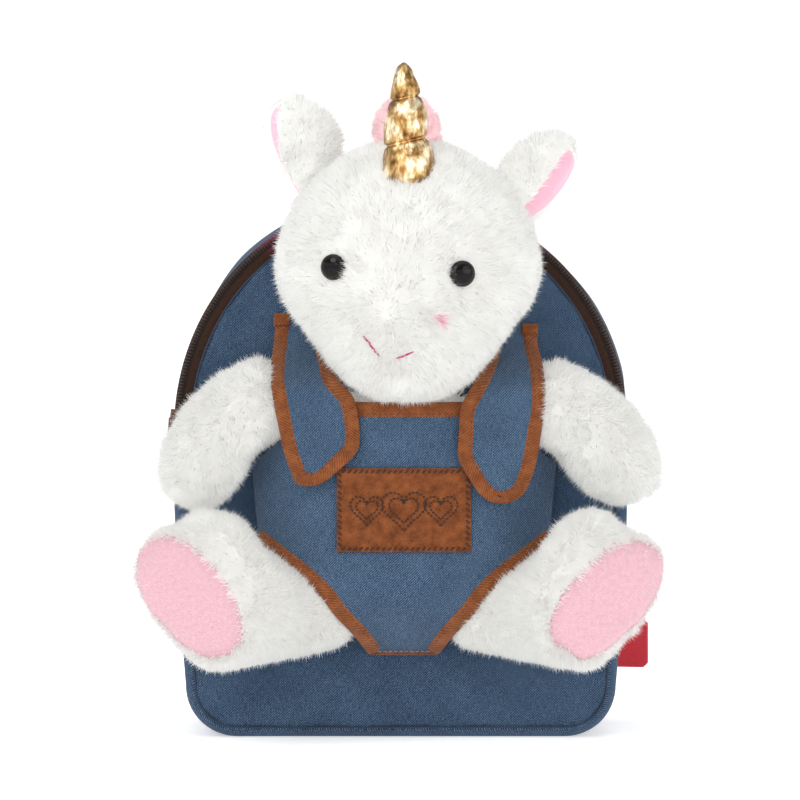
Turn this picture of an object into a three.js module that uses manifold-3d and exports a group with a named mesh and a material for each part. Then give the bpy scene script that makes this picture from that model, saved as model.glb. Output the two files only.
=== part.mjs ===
// Small child's backpack in denim with a plush toy held on its front by a bib and two flaps.
// Millimetres, +X to the viewer's right, the front faces -Y, +Z up. The origin is the middle of the flat base.
import * as THREE from 'three';
import Module from 'manifold-3d';
import { mergeVertices } from 'three/addons/utils/BufferGeometryUtils.js';
import { TessellateModifier } from 'three/addons/modifiers/TessellateModifier.js';

const wasm = await Module();
wasm.setup();

// Driving dimensions
const gap = 0.3; // clearance between pieces that touch
const bag = { width: 240, height: 285, depth: 130, wall: 4, cornerRadius: 27, taper: 9, archStart: 160 };
const archPower = 2.05; // exponent of the arch: 2 is an ellipse
const frontDome = 5; // how far the padded front stands out in its middle
const seamInset = { side: 5.5, arch: 13, back: 6 }; // seams inside the outline, seen from the front and the back
const edgeRound = { front: 9, back: 6 }; // how deep the rounded front and back edges are
const zip = { endHeight: 150, sliderHeight: 168, tape: 1.6, coil: 2.2 };
const backPad = { thickness: 12 };
const bib = { standOff: 44, wall: 1.8, topHalf: 45, topHeight: 179, seamHalf: 80.5, seamTop: 148, centre: 1.5 };
const bulge = { rise: 40, fullness: 0.8 }; // how the bib fills out above its crotch seam and towards its middle
const binding = { width: 8, thickness: 2.6 };
const patch = { width: 69, height: 43.5, centreHeight: 123, thickness: 1.6 };
const flap = { wall: 1.8, clearance: 4.1, shoulder: 182, top: 217, fallOff: 0.2 };
const head = { x: 3.6, z: 246, halfWidth: 66, halfHeight: 66, front: 51, back: 39, jaw: 0.2 };
const muzzle = { x: -10, drop: 39, length: 15, spread: 24 };
const eye = { diameter: 12, height: 5.2, sunk: 2 };
const horn = { height: 62, radius: 14, y: 26, base: 292, lean: -2, twist: 0.22 };
const mane = { x: 3, z: 318, behind: 8, halfWidth: 16, halfDepth: 15, halfHeight: 18 };
const ear = { length: 40, width: 42, fur: 5, lining: 1.6, bend: 0.95, ahead: 4 };
const limb = { armRadius: 21, legRadius: 36, legReach: 86, armReach: 26 };
const torso = { halfWidth: 60, halfHeight: 62, halfDepth: 17, z: 130 };
const sole = { halfWidth: 26.5, halfHeight: 31, thickness: 2, tilt: 0.3 };
const lock = { height: 2.4, lean: 2.2 }; // fur locks: how far their tips stand out and lie over
const label = { width: 23, height: 25, thickness: 1.2, bottom: 35, sewn: 1 };
const strap = { width: 52, thickness: 12, top: 262, bow: 26 };
const buckle = { width: 34, bar: 3, slot: 5, thickness: 3.4, height: 87, x: 70 };
const webbing = { width: 25, thickness: 1.6, anchor: 20, anchorX: 86, sewn: 20, straight: 10, tail: 42 };
const handle = { foot: 46, inner: 27, height: 304, width: 24, thickness: 3, y: 32 };
const slider = { length: 10, width: 8, thickness: 2.2, crown: 4, crownWidth: 1.4, crownLeg: 1.3 };
const pull = { length: 17, width: 6.4, thickness: 1.5, window: 4.4, windowWidth: 3.4, bar: 1.2 };

const colours = {
  denim: 0x405873, suede: 0x8a5233, patch: 0x75462a, tape: 0x41302a, coil: 0x2c211e, fur: 0xf3f3f1,
  pinkFleece: 0xeac1cc, satin: 0xfcd6e3, mane: 0xf3dbda, gold: 0xc8a05a, bronze: 0x5a4030, eye: 0x101014,
  label: 0xc81428, padding: 0x33475e, webbing: 0x2b3440, plastic: 0x1c1c1f,
};

const half = bag.width / 2;
const frontPlane = -bag.depth / 2;
const backPlane = bag.depth / 2;
const toyPlane = frontPlane - frontDome - gap; // the toy's back lies here
const headY = toyPlane - head.back;
const up = new THREE.Vector3(0, 0, 1);
const part = new THREE.Group();

function material(colour, roughness = 0.9, metalness = 0) {
  return new THREE.MeshStandardMaterial({ color: colours[colour], roughness, metalness });
}

// A geometry as one solid for cutting: shared corners merged and its faces turned outwards.
function solidOf(geometry) {
  const bare = geometry.clone();
  bare.deleteAttribute('normal');
  bare.deleteAttribute('uv');
  const merged = mergeVertices(bare, 1e-4);
  const kept = [];
  const corners = merged.index.array;
  for (let i = 0; i < corners.length; i += 3) {
    const [a, b, c] = [corners[i], corners[i + 1], corners[i + 2]];
    if (a !== b && b !== c && a !== c) kept.push(a, b, c);
  }
  const points = merged.attributes.position.array;
  if (signedVolume(points, kept) < 0) kept.reverse();
  return new wasm.Manifold(new wasm.Mesh({
    numProp: 3,
    vertProperties: new Float32Array(points),
    triVerts: new Uint32Array(kept),
  }));
}

function signedVolume(points, corners) {
  const at = (i) => new THREE.Vector3().fromArray(points, i * 3);
  let total = 0;
  for (let i = 0; i < corners.length; i += 3) {
    total += at(corners[i]).dot(at(corners[i + 1]).cross(at(corners[i + 2])));
  }
  return total;
}

function geometryOf(solid) {
  const mesh = solid.getMesh();
  const geometry = new THREE.BufferGeometry();
  geometry.setAttribute('position', new THREE.Float32BufferAttribute(mesh.vertProperties, 3));
  geometry.setIndex(new THREE.BufferAttribute(mesh.triVerts, 1));
  geometry.computeVertexNormals();
  return geometry;
}

// A piece cut back from its neighbours by solids that already hold the clearance. Crumbs that a cut leaves
// are dropped.
function carved(geometry, cutters) {
  let body = solidOf(geometry);
  for (const cutter of cutters) body = body.subtract(solidOf(cutter));
  const pieces = body.decompose();
  pieces.sort((a, b) => b.volume() - a.volume());
  return geometryOf(pieces[0]);
}

function add(name, geometry, finish, parent = part) {
  const mesh = new THREE.Mesh(geometry, finish);
  mesh.name = name;
  parent.add(mesh);
  return mesh;
}

// A sheet with a thickness, from a surface of two parameters; it grows against the surface's normal.
function sheet(surface, us, vs, thickness) {
  const points = [];
  const step = 1e-3;
  for (const u of us) {
    for (const v of vs) {
      const along = surface(u + step, v).sub(surface(u - step, v));
      const across = surface(u, v + step).sub(surface(u, v - step));
      const inward = along.cross(across).normalize();
      points.push(surface(u, v), surface(u, v).addScaledVector(inward, thickness));
    }
  }
  const corner = (i, j, side) => (i * vs.length + j) * 2 + side;
  const faces = [];
  const quad = (a, b, c, d) => faces.push(a, b, c, a, c, d);
  const [lastU, lastV] = [us.length - 1, vs.length - 1];
  for (let i = 0; i < lastU; i++) {
    for (let j = 0; j < lastV; j++) {
      quad(corner(i, j, 0), corner(i, j + 1, 0), corner(i + 1, j + 1, 0), corner(i + 1, j, 0));
      quad(corner(i, j, 1), corner(i + 1, j, 1), corner(i + 1, j + 1, 1), corner(i, j + 1, 1));
    }
    quad(corner(i, 0, 0), corner(i + 1, 0, 0), corner(i + 1, 0, 1), corner(i, 0, 1));
    quad(corner(i, lastV, 0), corner(i, lastV, 1), corner(i + 1, lastV, 1), corner(i + 1, lastV, 0));
  }
  for (let j = 0; j < lastV; j++) {
    quad(corner(0, j, 0), corner(0, j, 1), corner(0, j + 1, 1), corner(0, j + 1, 0));
    quad(corner(lastU, j, 0), corner(lastU, j + 1, 0), corner(lastU, j + 1, 1), corner(lastU, j, 1));
  }
  const geometry = new THREE.BufferGeometry().setFromPoints(points);
  geometry.setIndex(faces);
  return geometryOf(solidOf(geometry));
}

// A flat-cut piece of cloth laid on a surface: its outline is given as seen from the front (x and height),
// depthAt says where its front face lies, and its thickness goes back from there, square to the surface. A
// margin swells both faces, and ahead and behind move them straight forward and straight back.
function cloth(shape, depthAt, thickness, edge, { margin = 0, ahead = 0, behind = 0 } = {}) {
  const cut = new TessellateModifier(edge, 16).modify(new THREE.ShapeGeometry(shape));
  cut.deleteAttribute('normal');
  cut.deleteAttribute('uv');
  const flat = mergeVertices(cut, 1e-3);
  const spot = flat.attributes.position;
  const count = spot.count;
  const corners = Array.from(flat.index.array);
  const points = [];
  const backs = [];
  const step = 0.05;
  for (let i = 0; i < count; i++) {
    const [x, z] = [spot.getX(i), spot.getY(i)];
    const slopeX = (depthAt(x + step, z) - depthAt(x - step, z)) / (2 * step);
    const slopeZ = (depthAt(x, z + step) - depthAt(x, z - step)) / (2 * step);
    const back = new THREE.Vector3(-slopeX, 1, -slopeZ).normalize();
    const face = new THREE.Vector3(x, depthAt(x, z), z);
    const rear = face.clone().addScaledVector(back, thickness + margin);
    backs.push(rear.setY(rear.y + behind));
    face.addScaledVector(back, -margin);
    points.push(face.setY(face.y - ahead));
  }
  const faces = [...corners];
  const edges = new Map();
  for (let i = 0; i < corners.length; i += 3) {
    faces.push(corners[i + 2] + count, corners[i + 1] + count, corners[i] + count);
    for (let k = 0; k < 3; k++) edges.set(`${corners[i + k]},${corners[i + ((k + 1) % 3)]}`, true);
  }
  for (const key of edges.keys()) {
    const [a, b] = key.split(',').map(Number);
    if (!edges.has(`${b},${a}`)) faces.push(b, a, a + count, b, a + count, b + count);
  }
  const geometry = new THREE.BufferGeometry().setFromPoints([...points, ...backs]);
  geometry.setIndex(faces);
  return geometryOf(solidOf(geometry));
}

// A furred body: a sphere's grid laid on place(u, v), with the tips of staggered locks raised and leaning
// along the nap.
function furred(place, around, rows) {
  return bodyOn(place, around, rows, (point, out, nap, row, turn) => {
    const raised = row > 0 && row < rows - 1 && (row + turn) % 2 === 0;
    if (raised) point.addScaledVector(out, lock.height).addScaledVector(nap, lock.lean);
  });
}

// The same body without locks, swollen so that it holds them all with a clearance.
function envelope(place, around, rows) {
  return bodyOn(place, around, rows, (point, out) => point.addScaledVector(out, lock.height + 3 * gap));
}

function bodyOn(place, around, rows, shift) {
  const geometry = new THREE.SphereGeometry(1, around, rows);
  const spot = geometry.attributes.position;
  for (let row = 0; row <= rows; row++) {
    for (let turn = 0; turn <= around; turn++) {
      const atPole = row === 0 || row === rows;
      const { point, out, nap } = place(atPole ? 0 : (turn % around) / around, row / rows);
      shift(point, atPole ? out.clone().set(0, 0, 0) : out, nap, row, turn);
      spot.setXYZ(row * (around + 1) + turn, point.x, point.y, point.z);
    }
  }
  return geometry;
}

const smooth = (value, low, high) => THREE.MathUtils.smoothstep(value, low, high);
const spread = (from, to, count) => Array.from({ length: count + 1 }, (_, i) => from + ((to - from) * i) / count);

// The outline of the bag seen from the front, from the middle of the base round to the right.
function bagOutline() {
  const sideAt = (z) => half - bag.taper * (1 - z / bag.archStart) ** 2;
  const radius = bag.cornerRadius;
  const corner = sideAt(radius) - radius;
  const rise = bag.height - bag.archStart;
  const right = spread(radius, bag.archStart, 4).map((z) => new THREE.Vector2(sideAt(z), z));
  for (const turn of spread(0, Math.PI / 2, 10).slice(1)) {
    const x = half * Math.cos(turn) ** (2 / archPower);
    right.push(new THREE.Vector2(x, bag.archStart + rise * Math.sin(turn) ** (2 / archPower)));
  }
  const left = right.slice(0, -1).reverse().map((p) => new THREE.Vector2(-p.x, p.y));
  const path = new THREE.Path();
  path.moveTo(0, 0);
  path.lineTo(corner, 0);
  path.absarc(corner, radius, radius, -Math.PI / 2, 0, false);
  path.splineThru([...right.slice(1), ...left]);
  path.absarc(-corner, radius, radius, Math.PI, Math.PI * 1.5, false);
  path.lineTo(0, 0);
  return path;
}

const outline = bagOutline();
const stationCount = 64;
const stations = spread(0, 1, stationCount);

function outlineAt(t) {
  const turn = ((t % 1) + 1) % 1;
  const point = outline.getPoint(turn);
  const tangent = outline.getPoint((turn + 1e-4) % 1).sub(outline.getPoint((turn + 1 - 1e-4) % 1)).normalize();
  return { point, outward: new THREE.Vector2(tangent.y, -tangent.x) };
}

function frontInset(z) {
  return seamInset.side + (seamInset.arch - seamInset.side) * smooth(z, zip.endHeight - 45, zip.endHeight + 25);
}

// The band between front and back: v runs 0 to 1 round the front edge, 1 to 2 along the side, 2 to 3 round
// the back edge.
function bandAt(t, v) {
  const { point, outward } = outlineAt(t);
  const turn = (Math.min(v, 1) * Math.PI) / 2;
  const backTurn = (Math.max(v - 2, 0) * Math.PI) / 2;
  const inset = frontInset(point.y) * (1 - Math.sin(turn)) + seamInset.back * (1 - Math.cos(backTurn));
  const sideStart = frontPlane + edgeRound.front;
  const sideEnd = backPlane - edgeRound.back;
  let y = sideStart - edgeRound.front * Math.cos(turn);
  if (v > 1) y = sideStart + (sideEnd - sideStart) * Math.min(v - 1, 1);
  if (v > 2) y = sideEnd + edgeRound.back * Math.sin(backTurn);
  return new THREE.Vector3(point.x - outward.x * inset, y, point.y - outward.y * inset);
}

// Where the zip ends, as stations of the outline.
const zipStart = stations.find((t) => outlineAt(t).point.y > zip.endHeight);
const zipEnd = 1 - zipStart;
const gapTurn = gap / outline.getLength();

function stationsBetween(from, to) {
  const all = [...stations.slice(0, -1).map((t) => t - 1), ...stations];
  return [from, ...all.filter((t) => t > from + 1e-3 && t < to - 1e-3), to];
}

function band(from, to, vs, thickness) {
  return sheet(bandAt, stationsBetween(from, to), vs, thickness);
}

// Half of the outline's width at a height.
function halfWidthAt(z) {
  if (z <= bag.archStart) return half - bag.taper * (1 - z / bag.archStart) ** 2;
  const share = Math.min(1, (z - bag.archStart) / (bag.height - bag.archStart));
  return half * Math.max(0, 1 - share ** archPower) ** (1 / archPower);
}

// The padded front: how far forward its face lies, fading to nothing at its seam.
function frontAt(x, z) {
  const reach = Math.max(1, halfWidthAt(z) - frontInset(z));
  const across = 1 - Math.min(1, (x / reach) ** 2);
  const middle = bag.height / 2;
  const upward = 1 - Math.min(1, ((z - middle) / (middle - seamInset.arch)) ** 4);
  return frontPlane - frontDome * across ** 1.5 * upward ** 1.5;
}

function panelShape(inset) {
  const edge = stations.slice(0, -1).map((t) => {
    const { point, outward } = outlineAt(t);
    return point.clone().addScaledVector(outward, -inset(point.y));
  });
  return new THREE.Shape(edge);
}

// The back panel's inner face lies flat and its padding stands a little out behind.
function backAt() {
  return backPlane - backPad.thickness;
}

function buildBag() {
  const denim = material('denim');
  const tape = material('tape', 0.8);
  add('front_panel', cloth(panelShape((z) => frontInset(z) + gap), frontAt, bag.wall, 40), denim);
  add('back_panel', cloth(panelShape(() => seamInset.back + gap), backAt, backPad.thickness, 60),
    material('padding'));
  add('gusset_lower', band(zipEnd - 1, zipStart, [0, 0.5, 1, 2, 2.5, 3], bag.wall), denim);
  const [from, to] = [zipStart + gapTurn, zipEnd - gapTurn];
  const nudge = (v) => v + (1.3 * gap) / edgeRound.front / 1.6;
  const [tapeEdge, coilEdge] = [0.36, 0.69];
  add('zip_tape_front', band(from, to, [0, tapeEdge / 2, tapeEdge], zip.tape), tape);
  add('zip_coil', band(from, to, [nudge(tapeEdge), 0.53, coilEdge], zip.coil), material('coil', 0.5));
  add('zip_tape_back', band(from, to, [nudge(coilEdge), 0.85, 1], zip.tape), tape);
  add('gusset_top', band(from, to, [1 + gap / bag.depth, 2, 2.5, 3], bag.wall), denim);
}

// The bib stands off the front where the toy's body pushes it out, and is sewn down at its sides and crotch.
const bibEdges = [
  // outer edge of the leg opening, from the side seam down to the crotch
  { out: 0.652, up: 0.366 },
  { out: 0.569, up: 0.342 },
  { out: 0.458, up: 0.309 },
  { out: 0.362, up: 0.272 },
  { out: 0.3, up: 0.236 },
  { out: 0.216, up: 0.195 },
  { out: 0.158, up: 0.157 },
];
const crotchHeight = bibEdges[bibEdges.length - 1].up * bag.height;

function bulgeAt(x, z) {
  const across = Math.min(1, Math.abs((x - bib.centre) / bib.seamHalf) ** 4);
  const rise = THREE.MathUtils.clamp((z - crotchHeight) / bulge.rise, 0, 1);
  return bib.standOff * (1 - across) ** bulge.fullness * (1 - (1 - rise) ** 2) ** bulge.fullness;
}

function bibAt(x, z) {
  return frontAt(x, z) - gap - binding.thickness - bulgeAt(x, z);
}

// The edge of one leg opening as a smooth curve; side is -1 on the viewer's left and 1 on the right.
function legEdge(side, inward) {
  const curve = new THREE.SplineCurve(bibEdges.map(({ out, up: height }) => (
    new THREE.Vector2(bib.centre + side * out * half, height * bag.height))));
  return spread(0, 1, 10).map((t) => {
    const tangent = curve.getTangent(t);
    const inwards = new THREE.Vector2(tangent.y, -tangent.x).multiplyScalar(side);
    return curve.getPoint(t).addScaledVector(inwards, inward);
  });
}

// The bound upper edge of the bib: up one armhole, across, and down the other.
function topEdge(inward, beyond = 0) {
  const slope = new THREE.Vector2(bib.seamHalf - bib.topHalf, bib.seamTop - bib.topHeight).normalize();
  const turned = inward * (1 - slope.x) / -slope.y;
  const drop = inward / slope.x;
  return [
    new THREE.Vector2(bib.centre - bib.seamHalf - beyond, bib.seamTop - drop),
    new THREE.Vector2(bib.centre - bib.topHalf + turned, bib.topHeight - inward),
    new THREE.Vector2(bib.centre + bib.topHalf - turned, bib.topHeight - inward),
    new THREE.Vector2(bib.centre + bib.seamHalf + beyond, bib.seamTop - drop),
  ];
}

// The room of a cloth piece with a clearance, for cutting its neighbours. Reaching ahead it takes away what
// would lie over the piece, and reaching behind what would lie under it.
const clearance = 8 * gap;
const over = { margin: clearance, ahead: head.front };
const under = { margin: clearance, behind: head.back };

function bibRoom() {
  const [left, right] = [legEdge(-1, -clearance), legEdge(1, -clearance)];
  const beyond = binding.thickness + 2 * gap;
  for (const [edge, side] of [[left, -1], [right, 1]]) {
    edge.unshift(new THREE.Vector2(bib.centre + side * (bib.seamHalf + beyond), edge[0].y + beyond));
  }
  const top = topEdge(-clearance, beyond);
  const shape = new THREE.Shape([...left, ...right.reverse(), ...top.reverse()]);
  return cloth(shape, bibAt, binding.thickness, 12, over);
}

function stripShape(outer, inner) {
  return new THREE.Shape([...outer, ...inner.slice().reverse()]);
}

const proud = (binding.thickness - bib.wall) / 2;
const trimAt = (depthAt) => (x, z) => depthAt(x, z) - proud;

function buildBib() {
  const inner = binding.width + gap;
  const [left, right] = [legEdge(-1, inner), legEdge(1, inner)];
  const panel = new THREE.Shape([...left, ...right.slice().reverse(), ...topEdge(inner).reverse()]);
  const suede = material('suede');
  add('bib', cloth(panel, bibAt, bib.wall, 20), material('denim'));
  add('bib_top_trim', cloth(stripShape(topEdge(0), topEdge(binding.width)), trimAt(bibAt),
    binding.thickness, 18), suede);
  for (const [name, side] of [['leg_trim_left', -1], ['leg_trim_right', 1]]) {
    const shape = stripShape(legEdge(side, 0), legEdge(side, binding.width));
    add(name, cloth(shape, trimAt(bibAt), binding.thickness, 18), suede);
  }
  const [w, h] = [patch.width / 2, patch.height / 2];
  const corners = [[-w, -h], [w, -h], [w, h], [-w, h]];
  const shape = new THREE.Shape(corners.map(([x, z]) => new THREE.Vector2(x + bib.centre, patch.centreHeight + z)));
  add('patch', cloth(shape, (x, z) => bibAt(x, z) - 2 * gap - patch.thickness, patch.thickness, 14),
    material('patch'));
}

// The flaps come over the toy's shoulders from the top and lie on the bib. Heights and distances from the
// middle are shares of the bag's height and half width.
const flapLeft = [
  { up: 0.784, outer: -0.554, inner: -0.34 },
  { up: 0.753, outer: -0.553, inner: -0.33 },
  { up: 0.705, outer: -0.563, inner: -0.3 },
  { up: 0.674, outer: -0.565, inner: -0.278 },
  { up: 0.639, outer: -0.556, inner: -0.208 },
  { up: 0.589, outer: -0.533, inner: -0.181 },
  { up: 0.54, outer: -0.508, inner: -0.188 },
  { up: 0.502, outer: -0.477, inner: -0.275 },
  { up: 0.478, outer: -0.445, inner: -0.355 },
];
const flapRight = [
  { up: 0.765, outer: 0.597, inner: 0.38 },
  { up: 0.733, outer: 0.597, inner: 0.38 },
  { up: 0.702, outer: 0.614, inner: 0.36 },
  { up: 0.667, outer: 0.625, inner: 0.317 },
  { up: 0.621, outer: 0.628, inner: 0.261 },
  { up: 0.575, outer: 0.609, inner: 0.25 },
  { up: 0.526, outer: 0.59, inner: 0.248 },
  { up: 0.491, outer: 0.567, inner: 0.292 },
  { up: 0.46, outer: 0.53, inner: 0.342 },
  { up: 0.445, outer: 0.47, inner: 0.4 },
];

function flapAt(x, z) {
  const fall = 1 - smooth(z, flap.shoulder, flap.top);
  const side = 1 - flap.fallOff * Math.min(1.2, Math.abs(x / bib.seamHalf)) ** 4;
  return frontAt(x, z) - gap - binding.thickness - (bib.standOff + flap.clearance) * fall * side;
}

// The flap's edge from its sewn end down, round the tip and up again, moved inward from the cut edge.
function flapEdge(rows, inward) {
  const at = (key) => rows.map((row) => new THREE.Vector2(row[key] * half, row.up * bag.height));
  const curve = new THREE.SplineCurve([...at('outer'), ...at('inner').reverse()]);
  const way = Math.sign(rows[0].outer);
  const edge = curve.getSpacedPoints(60);
  const moved = spread(0, 1, 24).map((t) => {
    const tangent = curve.getTangentAt(t);
    return curve.getPointAt(t).addScaledVector(new THREE.Vector2(tangent.y, -tangent.x), way * inward);
  });
  return moved.filter((point) => edge.every((other) => other.distanceTo(point) > Math.abs(inward) * 0.97));
}

function flapRoom(rows, reach) {
  const edge = flapEdge(rows, -clearance);
  const above = new THREE.Vector2(0, clearance);
  const [first, last] = [edge[0].clone().add(above), edge[edge.length - 1].clone().add(above)];
  return cloth(new THREE.Shape([first, ...edge, last]), flapAt, binding.thickness, 9, reach);
}

function buildFlaps() {
  for (const [side, rows] of [['left', flapLeft], ['right', flapRight]]) {
    const panel = cloth(new THREE.Shape(flapEdge(rows, binding.width + 2 * gap)), flapAt, flap.wall, 12);
    add(`flap_${side}`, panel, material('denim'));
    const shape = stripShape(flapEdge(rows, 0), flapEdge(rows, binding.width));
    add(`flap_trim_${side}`, cloth(shape, trimAt(flapAt), binding.thickness, 12), material('suede'));
  }
}

// The head: how far forward its face lies, and its skin in a direction from its centre.
function jawAt(level) {
  return 1 - head.jaw * smooth(-level, 0, 0.6);
}

function muzzleAt(x, z) {
  const away = (x - muzzle.x) ** 2 + (z + muzzle.drop) ** 2;
  return muzzle.length * Math.exp(-away / (2 * muzzle.spread ** 2));
}

function headPoint(direction) {
  const { x, y, z } = direction;
  const right = x * head.halfWidth * jawAt(z);
  const high = z * head.halfHeight;
  const ahead = y < 0 ? y * head.front - muzzleAt(right, high) * Math.min(1, -y * 3) : y * head.back;
  return new THREE.Vector3(head.x + right, headY + ahead, head.z + high);
}

function faceAt(x, z) {
  const high = (z - head.z) / head.halfHeight;
  const right = (x - head.x) / (head.halfWidth * jawAt(high));
  const ahead = Math.sqrt(Math.max(0, 1 - high ** 2 - right ** 2));
  return headPoint(new THREE.Vector3(right, -ahead, high));
}

// The way down along a surface that faces out.
function downAlong(out) {
  return up.clone().negate().addScaledVector(out, out.z);
}

function placeOnHead(u, v) {
  const [turn, fall] = [u * Math.PI * 2, v * Math.PI];
  const direction = new THREE.Vector3(
    Math.sin(fall) * Math.cos(turn), Math.sin(fall) * Math.sin(turn), Math.cos(fall));
  return { point: headPoint(direction), out: direction, nap: downAlong(direction) };
}

function placeOnEgg(centre, radii) {
  return (u, v) => {
    const [turn, fall] = [u * Math.PI * 2, v * Math.PI];
    const out = new THREE.Vector3(
      Math.sin(fall) * Math.cos(turn), Math.sin(fall) * Math.sin(turn), Math.cos(fall));
    return { point: out.clone().multiply(radii).add(centre), out, nap: downAlong(out) };
  };
}

// A limb along stations: shares of the half width outwards, of the reach forwards, of the height upwards and
// of the limb's radius for its girth.
const legStations = [
  { out: 0.2, ahead: 0.2, up: 0.239, girth: 0.44 },
  { out: 0.383, ahead: 0.24, up: 0.242, girth: 0.55 },
  { out: 0.517, ahead: 0.32, up: 0.249, girth: 0.68 },
  { out: 0.633, ahead: 0.45, up: 0.263, girth: 0.86 },
  { out: 0.742, ahead: 0.63, up: 0.277, girth: 0.97 },
  { out: 0.825, ahead: 0.82, up: 0.281, girth: 1 },
  { out: 0.9, ahead: 1, up: 0.281, girth: 0.96 },
];
const armLeft = [
  { out: 0.4, ahead: 0.9, up: 0.66, girth: 0.8 },
  { out: 0.55, ahead: 0.96, up: 0.642, girth: 0.95 },
  { out: 0.717, ahead: 1, up: 0.596, girth: 1 },
  { out: 0.833, ahead: 1, up: 0.54, girth: 0.98 },
  { out: 0.892, ahead: 1, up: 0.484, girth: 0.88 },
  { out: 0.917, ahead: 1, up: 0.439, girth: 0.7 },
];
const armRight = [
  { out: 0.417, ahead: 0.9, up: 0.653, girth: 0.8 },
  { out: 0.583, ahead: 0.96, up: 0.639, girth: 0.95 },
  { out: 0.767, ahead: 1, up: 0.596, girth: 1 },
  { out: 0.9, ahead: 1, up: 0.54, girth: 1.02 },
  { out: 0.967, ahead: 1, up: 0.488, girth: 0.9 },
  { out: 0.983, ahead: 1, up: 0.446, girth: 0.72 },
];

function limbCurve(rows, side, reach) {
  return new THREE.CatmullRomCurve3(rows.map((row) => new THREE.Vector3(
    side * row.out * half, toyPlane - row.ahead * reach, row.up * bag.height)));
}

function placeOnLimb(rows, side, reach, radius, bluntness) {
  const curve = limbCurve(rows, side, reach);
  const girths = rows.map((row) => row.girth * radius);
  return (u, v) => {
    const along = 0.5 - 0.5 * Math.cos(v * Math.PI);
    const spot = along * (girths.length - 1);
    const low = Math.min(Math.floor(spot), girths.length - 2);
    const girth = THREE.MathUtils.lerp(girths[low], girths[low + 1], spot - low);
    const end = Math.max(0, 1 - Math.abs(2 * along - 1) ** bluntness) ** (1 / bluntness);
    const nap = curve.getTangent(along);
    const sideways = nap.clone().cross(up).normalize();
    const above = sideways.clone().cross(nap);
    const turn = u * Math.PI * 2;
    const out = sideways.multiplyScalar(Math.cos(turn)).addScaledVector(above, Math.sin(turn));
    const point = curve.getPoint(along).addScaledVector(out, girth * end);
    return { point, out, nap };
  };
}

// A cupped ear: a leaf bent round its long axis, the fur outside and a satin lining inside.
function earSheet(depth, thickness, margin) {
  const surface = (u, v) => {
    const leaf = Math.sqrt(1 - v ** 4) * (0.8 + 0.25 * v);
    const radius = (ear.width * leaf) / (2 * ear.bend);
    const turn = u * ear.bend * margin;
    const inner = radius - depth;
    return new THREE.Vector3(inner * Math.sin(turn), inner * Math.cos(turn) - radius * Math.cos(ear.bend),
      v * ear.length * margin);
  };
  return sheet(surface, spread(-1, 1, 6), spread(0, 0.93, 5), thickness);
}

function earPlacement(base, axis, opening) {
  const long = new THREE.Vector3(...axis).normalize();
  const open = new THREE.Vector3(...opening);
  const behind = open.addScaledVector(long, -open.dot(long)).normalize().negate();
  const across = behind.clone().cross(long);
  return new THREE.Matrix4().makeBasis(across, behind, long).setPosition(...base);
}

function hornGeometry(room = 0) {
  // height and radius of the swellings and the two tied grooves, as shares
  const rings = [
    { up: 0, out: 0.9 }, { up: 0.06, out: 1 }, { up: 0.18, out: 0.97 }, { up: 0.3, out: 0.82 },
    { up: 0.36, out: 0.68 }, { up: 0.42, out: 0.77 }, { up: 0.54, out: 0.74 }, { up: 0.66, out: 0.6 },
    { up: 0.71, out: 0.44 }, { up: 0.77, out: 0.5 }, { up: 0.87, out: 0.38 }, { up: 0.96, out: 0.22 },
  ];
  const profile = rings.map(({ up: height, out }) => (
    new THREE.Vector2(out * horn.radius + room, height * horn.height)));
  const closed = [new THREE.Vector2(0, 0), ...profile, new THREE.Vector2(0, horn.height)];
  const geometry = new THREE.LatheGeometry(closed, 12).rotateX(Math.PI / 2);
  const spot = geometry.attributes.position;
  for (let i = 0; i < spot.count; i++) {
    const share = spot.getZ(i) / horn.height;
    spot.setZ(i, spot.getZ(i) + horn.twist * spot.getX(i) * Math.sin(Math.PI * Math.min(1, share * 1.1)));
  }
  geometry.rotateY(THREE.MathUtils.degToRad(horn.lean));
  return geometry.translate(head.x, headY - horn.y, horn.base);
}

// Eyes and ears sit at shares of the head's half width and half height from its centre. An ear's axis runs
// to its tip, and its opening faces the way of the second vector.
const eyes = [
  { name: 'eye_left', out: -0.588, up: 0.023 },
  { name: 'eye_right', out: 0.43, up: -0.026 },
];
const ears = [
  { side: 'left', out: -0.721, up: 0.727, axis: [-19, -2, 36], opening: [-0.9, -0.42, -0.1] },
  { side: 'right', out: 0.824, up: 0.636, axis: [28, -2, 22], opening: [0.55, -0.75, -0.35] },
];

function eyeGeometry(row, room = 0) {
  const skin = faceAt(head.x + row.out * head.halfWidth, head.z + row.up * head.halfHeight);
  const flatten = eye.height / (eye.diameter / 2);
  const ball = new THREE.SphereGeometry(eye.diameter / 2 + room, 14, 8).scale(1, flatten, 1);
  const outward = skin.clone().sub(new THREE.Vector3(head.x, headY, head.z)).setZ(0).normalize();
  ball.rotateZ(Math.atan2(outward.y, outward.x) + Math.PI / 2);
  return ball.translate(skin.x, skin.y - lock.height + eye.sunk, skin.z);
}

function soleGeometry(side) {
  const curve = limbCurve(legStations, side, limb.legReach);
  const facing = curve.getTangent(1);
  const turned = new THREE.Shape();
  turned.absellipse(0, 0, sole.halfWidth, sole.halfHeight, 0, Math.PI * 2, false, side * -sole.tilt);
  const flat = new THREE.ExtrudeGeometry(turned, {
    depth: sole.thickness, curveSegments: 14, bevelEnabled: false });
  const across = facing.clone().cross(up).normalize();
  const upright = across.clone().cross(facing);
  const place = new THREE.Matrix4().makeBasis(across.negate(), upright, facing);
  const end = curve.getPoint(1).addScaledVector(facing, gap);
  return flat.applyMatrix4(place.setPosition(end));
}

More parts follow.
